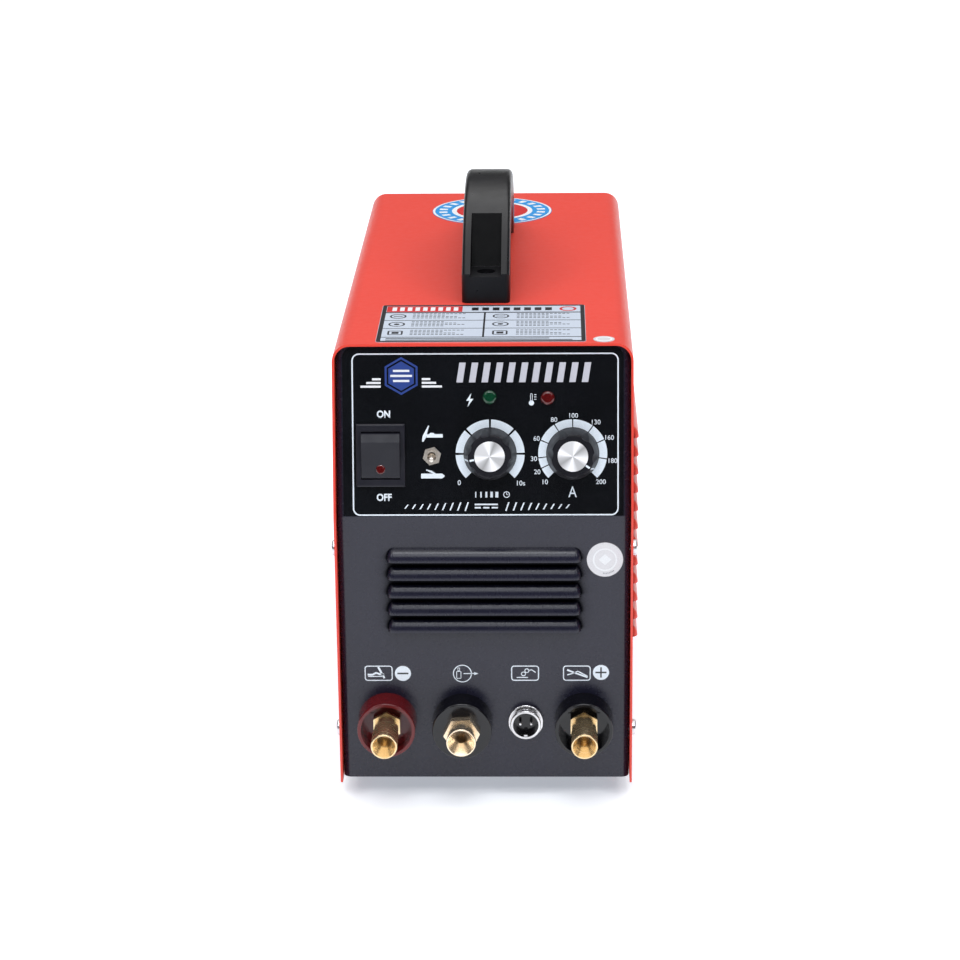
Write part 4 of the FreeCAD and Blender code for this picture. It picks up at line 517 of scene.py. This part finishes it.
def make_camera():
    """Camera at the viewing angle: slightly above, a long lens."""
    pitch, yaw, roll = 0.3194065, -0.0274439, -0.0110112    # radians
    place = Vector((0.0365, CASE_FRONT - 1.38378, RIM_Z + 0.62741))
    forward = Vector((math.sin(yaw) * math.cos(pitch), math.cos(yaw) * math.cos(pitch), -math.sin(pitch)))
    level = Vector((math.cos(yaw), -math.sin(yaw), 0))
    above = level.cross(forward)
    right = level * math.cos(roll) + above * math.sin(roll)
    up = right.cross(forward)
    data = bpy.data.cameras.new("camera")
    data.lens = 106.43
    data.sensor_width = 36.0
    data.clip_start = 0.05
    camera = bpy.data.objects.new("camera", data)
    matrix = Matrix((right, up, -forward)).transposed().to_4x4()
    matrix.translation = place
    camera.matrix_world = matrix
    scene.collection.objects.link(camera)
    scene.camera = camera


def area_light(name, place, target, size, power, tint=(1, 1, 1)):
    """A soft box that faces a target."""
    data = bpy.data.lights.new(name, "AREA")
    data.shape = "RECTANGLE"
    data.size, data.size_y = size
    data.energy = power
    data.color = tint
    light = bpy.data.objects.new(name, data)
    light.location = place
    light.rotation_euler = (Vector(target) - Vector(place)).to_track_quat("-Z", "Y").to_euler()
    scene.collection.objects.link(light)


def make_studio():
    """Pale floor, a low white wall behind, soft boxes above and in front, dim surroundings."""
    bm = bmesh.new()
    bmesh.ops.create_grid(bm, x_segments=8, y_segments=8, size=7.0)
    mesh = bpy.data.meshes.new("floor")
    bm.to_mesh(mesh)
    bm.free()
    shader = Shader("pale_floor", (0.88, 0.88, 0.88), 0.9)
    shader.vary_color(shader.noise(3.0, 2.0), (0.86, 0.86, 0.86), (0.89, 0.89, 0.89))
    shader.set("Emission Color", (0.86, 0.91, 1.0, 1.0))
    shader.set("Emission Strength", 0.46)
    mesh.materials.append(shader.material)
    floor = bpy.data.objects.new("floor", mesh)
    scene.collection.objects.link(floor)
    half_wide, behind, tall = 5.0, 4.6, 0.5
    corners = ((-half_wide, behind, 0), (half_wide, behind, 0), (half_wide, behind, tall),
               (-half_wide, behind, tall))
    wall = bpy.data.meshes.new("backdrop")
    wall.from_pydata(corners, (), ((0, 1, 2, 3),))
    paint = Shader("backdrop_white", (0.9, 0.9, 0.9), 0.9)
    paint.set("Emission Color", (1.0, 1.0, 1.0, 1.0))
    paint.set("Emission Strength", 0.5)
    wall.materials.append(paint.material)
    backdrop = bpy.data.objects.new("backdrop", wall)
    scene.collection.objects.link(backdrop)
    area_light("overhead", (0.0, 0.9, 2.4), (0, 0.9, 0), (4.0, 4.8), 100.0)
    area_light("front_left", (-1.5, -1.5, 1.7), (0, 0, 0.15), (0.5, 0.8), 8.0, COOL)
    area_light("front_right", (1.5, -1.5, 1.7), (0, 0, 0.15), (0.5, 0.8), 8.0, COOL)
    area_light("front_top", (0.0, -1.1, 2.3), (0, -0.1, 0.15), (1.2, 0.5), 12.0, COOL)
    area_light("front_sheet", (0.0, -1.95, 1.95), (0, -0.1, 0.2), (1.4, 0.8), 11.0, COOL)
    world = bpy.data.worlds.new("surroundings")
    world.use_nodes = True
    background = world.node_tree.nodes["Background"]
    background.inputs["Color"].default_value = (1.0, 1.0, 1.0, 1.0)
    background.inputs["Strength"].default_value = 0.06
    scene.world = world
    scene.view_settings.view_transform = "Standard"


make_camera()
make_studio()

# ---------------------------------------------------------------- materials on the CAD pieces
GAS_CAP = spun("spun_cap_gas_time", GAS_DIAL, nodes["gas_time_knob_cap"], 0.03)
CURRENT_CAP = spun("spun_cap_current", CURRENT_DIAL, nodes["current_knob_cap"], 0.11)
NODE_MATERIALS = {
    RED_PAINT: ("outer_cover",),
    GREY_PAINT: ("front_panel", "rear_panel", "base_tray"),
    OVERLAY_FILM: ("control_overlay",),
    HANDLE_BLACK: ("carry_handle",),
    BLACK_MOULDING: ("handle_screws", "mains_gland", "fan_frame", "fan_rotor"),
    SWITCH_BLACK: ("power_switch_housing", "power_switch_rocker"),
    CUP_BLACK: ("positive_insulator", "gas_outlet_insulator", "control_socket_insert"),
    CUP_RED: ("negative_insulator",),
    KNOB_BLACK: ("gas_time_knob", "current_knob"),
    GREY_PLASTIC: ("capacitors", "power_modules", "transformer_core"),
    BRASS: ("terminal_studs", "gas_inlet", "standoffs", "gas_valve"),
    PALE_BRASS: ("gas_outlet_fitting",),
    ZINC: ("handle_nuts", "cover_screws", "flange_screws", "foot_screws", "fan_screws",
           "fan_guard", "panel_back_nuts", "gas_time_spindle", "current_spindle", "earth_stud",
           "gas_valve_plunger", "potentiometers"),
    NICKEL: ("mode_switch_lever", "mode_switch_body", "control_nuts"),
    CHROME: ("control_socket_shell", "control_socket_pins"),
    COPPER: ("transformer_winding", "output_choke", "arc_start_coil", "output_busbars"),
    ALUMINIUM: ("heat_sinks",),
    GAS_CAP: ("gas_time_knob_cap",),
    CURRENT_CAP: ("current_knob_cap",),
    RUBBER: ("rubber_feet", "gas_hoses"),
    BOARD_GREEN: ("power_board", "control_board"),
    GREEN_LENS: ("power_lamp",),
    RED_LENS: ("overload_lamp", "power_switch_lens"),
    LABEL_PAPER: ("top_label",),
    BLUE_INK: ("top_badge",),
    PEARL_PRINT: ("round_stickers",),
}


def dress_nodes():
    """Give every CAD node its material."""
    for material, names in NODE_MATERIALS.items():
        for name in names:
            mesh = nodes[name].data
            if not mesh.materials:
                mesh.materials.append(material)
            for index in range(len(mesh.materials)):
                mesh.materials[index] = material


dress_nodes()

# ---------------------------------------------------------------- printed control panel
DIAL_OUTER, DIAL_INNER = 17.8, 13.7     # radii of the scale rings, in mm
# Each figure of the current scale: angle of its tick, and its place from the dial's centre.
CURRENT_FIGURES = ((225, "10", -14.2, -14.6), (205, "20", -18.3, -9.4), (187, "30", -20.0, -2.6),
                   (157, "60", -18.6, 7.9), (122, "80", -9.6, 17.6), (90, "100", 0.5, 19.7),
                   (54, "130", 12.1, 16.3), (24, "160", 19.0, 8.3), (-9, "180", 20.7, -3.7),
                   (-45, "200", 14.5, -14.6))
DIAL_S = DIAL_UP / MM           # dial centres on the slope, in mm
GAS_X = GAS_DIAL.x / MM
CURRENT_X = CURRENT_DIAL.x / MM
FIRST_TICK, LAST_TICK = -45, 225


def print_frame():
    """Thin border line round the controls."""
    border = Print("panel_border", SLOPE, PALE_INK)
    border.frame(-67.6, 0.5, 69.9, 84.7, radius=3.8, width=0.7)
    border.done()


def print_dials():
    """Scale rings of both dials with their figures."""
    scale = Print("dial_scales", SLOPE, DIAL_INK)
    gas_ticks = range(FIRST_TICK, LAST_TICK + 1, 45)
    current_ticks = [entry[0] for entry in reversed(CURRENT_FIGURES)]
    for centre_x, ticks, gap in ((GAS_X, gas_ticks, 1.9), (CURRENT_X, current_ticks, 1.0)):
        for start, end in zip(ticks, ticks[1:]):
            low = start if start == FIRST_TICK else start + gap
            high = end if end == LAST_TICK else end - gap
            scale.ring(centre_x, DIAL_S, DIAL_OUTER, DIAL_INNER, low, high, 16)
    scale.done()
    figures = Print("dial_figures", SLOPE, PALE_INK)
    weight = 0.008
    for _, figure, x, up in CURRENT_FIGURES:
        figures.text(figure, CURRENT_X + x, DIAL_S + up, 2.5, 1.0, weight)
    figures.text("0", GAS_X - 16.0, DIAL_S - 14.9, 2.6, 1.0, weight)
    figures.text("10s", GAS_X + 15.9, DIAL_S - 15.2, 2.6, 1.0, weight)
    figures.text("A", CURRENT_X - 0.1, 12.8, 5.6, 0.8, 0.0)
    figures.done()


def print_switch_words():
    """Plain on and off words and the two pictograms of the mode switch."""
    words = Print("switch_words", SLOPE, PALE_INK)
    switch_x, size, stretch, weight = -51.3, 3.9, 0.88, 0.035
    words.text("ON", switch_x, 53.3, size, stretch, weight)
    words.text("OFF", switch_x, 10.1, size, stretch, weight)
    words.done()
    icons = Print("mode_pictograms", SLOPE, PALE_INK)
    icons.fill([(-29.2, 41.1), (-20.8, 41.1), (-20.8, 42.9), (-25.0, 42.9), (-25.4, 43.5), (-27.2, 43.6),
                (-27.8, 42.9), (-29.2, 42.7)])
    icons.fill([(-31.5, 39.0), (-30.7, 39.0), (-29.4, 41.2), (-28.6, 44.3), (-27.8, 47.2), (-28.2, 47.4),
                (-29.9, 44.4), (-31.3, 41.6)])
    icons.fill([(-32.1, 19.9), (-21.2, 19.9), (-19.8, 21.15), (-21.2, 22.4), (-32.1, 22.4)])
    icons.fill([(-29.6, 24.1), (-25.9, 22.4), (-24.4, 22.4), (-26.5, 23.9), (-29.3, 24.6)])
    icons.done()


def print_status_marks():
    """A flash and a thermometer beside the lamps; widening bars and a clock under the gas dial."""
    marks = Print("status_pictograms", SLOPE, PALE_INK)
    marks.fill([(-6.0, 64.0), (-8.6, 60.1), (-7.0, 60.1), (-8.0, 56.8), (-4.9, 61.1), (-6.6, 61.1)])
    marks.ring(25.0, 58.9, 1.35, 0.0001, 0, 360, 24)
    marks.frame(24.4, 59.4, 25.6, 63.8, 0.55, 0.25)
    for step in range(3):
        marks.bar(26.4, 60.6 + step * 1.2, 27.6, 60.95 + step * 1.2)
    base = 9.9
    for step in range(5):
        x = -4.2 + step * 2.6
        width = 0.55 + 0.25 * step
        marks.bar(x, base, x + width, base + 3.0)
    clock_x, clock_s = 12.0, base + 1.5
    marks.ring(clock_x, clock_s, 1.7, 1.3, 0, 360, 24)
    marks.line([(clock_x, clock_s), (clock_x, base + 2.6)], 0.3)
    marks.line([(clock_x, clock_s), (12.8, clock_s)], 0.3)
    marks.done()


def print_title_band():
    """A plain motif in place of a title: the direct-current sign, with slanted bars on both sides."""
    band = Print("direct_current_sign", SLOPE, PALE_INK)
    middle, high = 1.5, 5.2
    band.bar(middle - 6.0, high + 0.7, middle + 6.0, high + 1.5)
    for step in (-1, 0, 1):
        band.bar(middle + step * 4.4 - 1.6, high - 1.0, middle + step * 4.4 + 1.6, high - 0.2)
    for side in (-1, 1):
        for step in range(9):
            x = middle + side * (10.5 + step * 3.9)
            height = 2.3 - 0.16 * step
            foot, head = (x - 0.8, high - height), (x + 0.8, high + height)
            band.fill([foot, (foot[0] + 0.75, foot[1]), (head[0] + 0.75, head[1]), head])
    band.done()


def print_emblem():
    """A row of plain silver blocks, and a blue hexagon with bars inside and beside it."""
    blocks = Print("silver_blocks", SLOPE, SILVER_INK)
    low, high, lean, width, pitch = 69.6, 79.8, 1.6, 4.9, 6.45
    for step in range(11):
        x = -13.6 + step * pitch
        blocks.fill([(x, low), (x + width - lean, low), (x + width, high), (x + lean, high)])
    blocks.done()
    centre_x, centre_s = -42.0, 73.0
    rims = []
    for radius in (9.8, 8.6, 7.6):
        corners = [math.radians(a) for a in range(30, 390, 60)]
        rims.append([(centre_x + radius * math.cos(a), centre_s + radius * math.sin(a)) for a in corners])
    hexagon = Print("navy_hexagon", SLOPE, NAVY_INK)
    hexagon.strip(rims[0], rims[1])
    hexagon.fill(rims[2])
    hexagon.done()
    bars = Print("emblem_bars", SLOPE, WHITE_PRINT, lift=INK)
    for step, reach in enumerate((4.2, 5.6, 4.2)):
        bars.bar(centre_x - reach, 69.9 + step * 2.6, centre_x + reach, 71.0 + step * 2.6)
    bars.done()
    wings = Print("emblem_wings", SLOPE, WHITE_PRINT)
    for side in (-1, 1):
        for step, reach in enumerate((21.0, 18.0, 15.0)):
            x0, x1 = sorted((centre_x + side * 10.6, centre_x + side * reach))
            wings.bar(x0, 67.0 + step * 1.9, x1, 68.1 + step * 1.9)
    wings.done()


print_frame()
print_dials()
print_switch_words()
print_status_marks()
print_title_band()
print_emblem()


# ---------------------------------------------------------------- dial pointers
# Each run of a pointer: where it starts and ends from the knob's axis, and its heights there.
POINTER_RUNS = ((8.1, 10.3, 14.5, 14.5), (10.3, 11.1, 14.5, 13.8), (11.23, 13.47, 13.7, 1.7))


def print_pointer(name, centre, degrees, body):
    """White pointer line on a knob: across its flat front, then down its tapered side. degrees is its
    direction on the panel, anticlockwise from the right."""
    height = (centre - KINK).dot(SLOPE_OUT) / MM
    across = Vector((1, 0, 0)) * math.cos(math.radians(degrees)) + SLOPE_UP * math.sin(math.radians(degrees))
    beside = SLOPE_OUT.cross(across)
    half_wide, raised = 0.5, 0.12
    bm = bmesh.new()
    for near, far, near_high, far_high in POINTER_RUNS:
        corners = []
        for out in (-0.4, raised):
            for reach, high in ((near, near_high), (far, far_high)):
                for side in (-half_wide, half_wide):
                    spot = across * reach + beside * side + SLOPE_OUT * (high + out - height)
                    corners.append(bm.verts.new(centre + spot * MM))
        a, b, c, d, e, f, g, h = corners
        for face in ((a, b, d, c), (e, g, h, f), (a, e, f, b), (c, d, h, g), (a, c, g, e), (b, f, h, d)):
            bm.faces.new(face)
    add_piece(name, bm, DIAL_INK, body)


print_pointer("gas_time_pointer", GAS_DIAL, 191.8, "gas_time_dial")
print_pointer("current_pointer", CURRENT_DIAL, -35.0, "current_dial")


# ---------------------------------------------------------------- upright panel pictograms
MINUS_X, MINUS_Z = -43.4, 60.9          # centres of the polarity discs
PLUS_X, PLUS_Z = 61.0, MINUS_Z + 0.5
POLARITY_RADIUS = 4.25


def print_connector_marks():
    """Pictograms over the terminals, the gas outlet and the control socket."""
    marks = Print("connector_pictograms", FACE, PALE_INK)
    low, high, width = 56.7, 65.3, 0.55
    for x0, x1 in ((-63.6, -48.8), (13.7, 28.4), (41.0, 55.6)):
        marks.frame(x0, low, x1, high, 1.7, width)
    marks.line([(-62.0, 60.2), (-59.4, 60.2), (-57.6, 61.2), (-55.4, 60.4), (-53.4, 60.3)], 1.1)
    marks.line([(-56.4, 64.6), (-54.6, 61.0), (-53.2, 58.2)], 1.1)
    marks.line([(-61.8, 59.2), (-54.4, 59.2)], 0.5)
    marks.line([(16.6, 58.6), (22.6, 58.6)], 0.5)
    marks.line([(22.6, 62.6), (24.6, 62.9), (26.6, 61.4)], 0.5)
    marks.ring(20.2, 60.6, 1.3, 0.85, 0, 360, 20)
    marks.ring(22.0, 62.4, 1.3, 0.85, 0, 360, 20)
    marks.line([(43.2, 62.9), (46.6, 61.4), (50.6, 59.9), (54.0, 58.6)], 0.9)
    marks.line([(43.2, 60.0), (46.6, 61.0), (49.0, 62.2)], 0.6)
    marks.line([(49.0, 62.0), (54.0, 59.2)], 0.6)
    marks.ring(-12.0, 60.8, 5.0, 4.5, 0, 360, 40)
    marks.frame(-15.2, 57.9, -12.6, 62.2, 0.5, 0.35)
    marks.frame(-14.5, 62.2, -13.3, 64.2, 0.3, 0.3)
    marks.line([(-11.4, 60.8), (-5.6, 60.8)], 0.5)
    marks.fill([(-5.8, 59.9), (-3.5, 60.8), (-5.8, 61.7)])
    marks.disc(MINUS_X, MINUS_Z, POLARITY_RADIUS)
    marks.disc(PLUS_X, PLUS_Z, POLARITY_RADIUS)
    marks.done()


def print_polarity_signs():
    """Dark minus and plus signs inside the two discs."""
    signs = Print("polarity_signs", FACE, BLACK_PRINT, lift=INK)
    arm, half = 2.9, 0.42
    signs.bar(MINUS_X - arm, MINUS_Z - half, MINUS_X + arm, MINUS_Z + half)
    outline = ((arm, half), (half, half), (half, arm), (-half, arm), (-half, half), (-arm, half),
               (-arm, -half), (-half, -half), (-half, -arm), (half, -arm), (half, -half), (arm, -half))
    signs.fill([(PLUS_X + x, PLUS_Z + y) for x, y in outline])
    signs.done()


def print_stickers():
    """Pale rings, a diamond and a few dashes on the two round stickers."""
    x, up, thick = 62.9, 124.6, 0.25 * MM
    sticker = Print("sticker_ring", FACE, WHITE_PRINT, lift=thick)
    sticker.ring(x, up, 6.3, 5.5)
    sticker.fill([(x - 3.3, up), (x, up - 3.0), (x + 3.3, up), (x, up + 3.0)])
    sticker.done()
    dashes = Print("sticker_dashes", FACE, GREY_PRINT, lift=thick)
    for step in range(8):
        start = 262 + step * 6
        dashes.ring(x, up, 7.9, 7.2, start, start + 3.4, 3)
    dashes.done()
    small = Print("small_sticker_ring", TOP, WHITE_PRINT)
    small.ring(62.4, 26.0, 4.4, 3.4)
    small.done()


print_connector_marks()
print_polarity_signs()
print_stickers()


# ---------------------------------------------------------------- prints on the top
def print_top_label():
    """Plain data label: black border, cells with dashed lines and neutral pictograms, a red header."""
    x0, y0, x1, y1 = -55.2, 21.5, 53.2, 95.5
    black = Print("label_border", TOP, BLACK_PRINT)
    black.frame(x0 + 0.2, y0 + 0.2, x1 - 0.2, y1 - 0.2, 1.6, 2.2)
    black.bar(x0 + 2, y1 - 16.5, x1 - 2, y1 - 14.9)
    middle = (x0 + x1) / 2 + 1
    black.bar(middle - 0.5, y0 + 9.5, middle + 0.5, y1 - 16)
    black.bar(x0 + 2, y0 + 8.8, x1 - 2, y0 + 9.8)
    for row in (y0 + 26.0, y0 + 42.0):
        black.bar(x0 + 2, row, x1 - 2, row + 0.8)
    black.done()
    row_lows = (y0 + 11.5, y0 + 28.5, y0 + 44.5)
    lines = Print("label_lines", TOP, BLACK_PRINT)
    for column in (x0 + 17, middle + 17):
        for row_low in row_lows:
            for line in range(4):
                length = 30.0 - 5.5 * ((line * 7 + int(row_low)) % 3)
                for mark in range(int(length / 2.2)):
                    start = column + mark * 2.2
                    lines.bar(start, row_low + 2.4 + line * 2.8, start + 1.5, row_low + 3.3 + line * 2.8)
    for line in range(2):
        lines.bar(x0 + 5, y0 + 3.2 + line * 2.9, x1 - 7 - 12 * line, y0 + 4.4 + line * 2.9)
    lines.done()
    shapes = Print("label_pictograms", TOP, BLACK_PRINT)
    for column in (x0 + 9.3, middle + 8.6):
        for index, row_low in enumerate(row_lows):
            centre = row_low + 6.2
            if index == 0:
                shapes.frame(column - 4, centre - 4, column + 4, centre + 4, 1.2, 0.9)
                shapes.bar(column - 1.8, centre - 1.8, column + 1.8, centre + 1.8)
            elif index == 1:
                shapes.ring(column, centre, 4.4, 3.5)
                shapes.disc(column, centre, 1.5, 24)
            else:
                shapes.ring(column, centre, 4.4, 3.5)
                shapes.bar(column - 2.4, centre - 0.5, column + 2.4, centre + 0.5)
    shapes.done()
    header = Print("label_header", TOP, RED_PRINT)
    header.bar(x0 + 2.6, y1 - 14.4, x0 + 43.0, y1 - 2.8)
    header.ring(x1 - 9.0, y1 - 8.6, 4.6, 3.2)
    header.done()
    letters = Print("label_header_marks", TOP, WHITE_PRINT, lift=INK)
    for step in range(9):
        letters.bar(x0 + 5.5 + step * 4.1, y1 - 12.2, x0 + 7.9 + step * 4.1, y1 - 5.0)
    letters.done()
    dark = Print("label_header_dark", TOP, BLACK_PRINT)
    for step in range(8):
        dark.bar(x0 + 48.0 + step * 5.6, y1 - 11.6, x0 + 51.6 + step * 5.6, y1 - 5.6)
    dark.done()


def print_badge():
    """Plain round badge: white rims, red middle and a ring of white dashes."""
    cx, cy, badge_radius, middle_radius = -1.0, 322.0, 36.5, 21.8
    white = Print("badge_white", TOP, WHITE_PRINT)
    # The handle's rear foot stands on the badge's front edge, so the rim and the dashes stop short of it.
    foot_half, foot_back = 13.4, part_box("carry_handle")[1].y / MM - CASE_FRONT / MM
    clear = math.degrees(math.asin(foot_half / badge_radius))
    start = 270 + clear + 1
    white.ring(cx, cy, 36.3, 35.0, start, start + 360 - 2 * clear - 2, 90)
    white.ring(cx, cy, 24.7, middle_radius)
    for turn in range(24):
        middle = 15 * turn + 7.5
        if cy + 33.0 * math.sin(math.radians(middle)) > foot_back + 1:
            white.ring(cx, cy, 32.6, 27.6, middle - 3.4, middle + 3.4, 6)
    white.done()
    red = Print("badge_middle", TOP, RED_PRINT)
    red.disc(cx, cy, middle_radius, 64)
    red.done()


print_top_label()
print_badge()
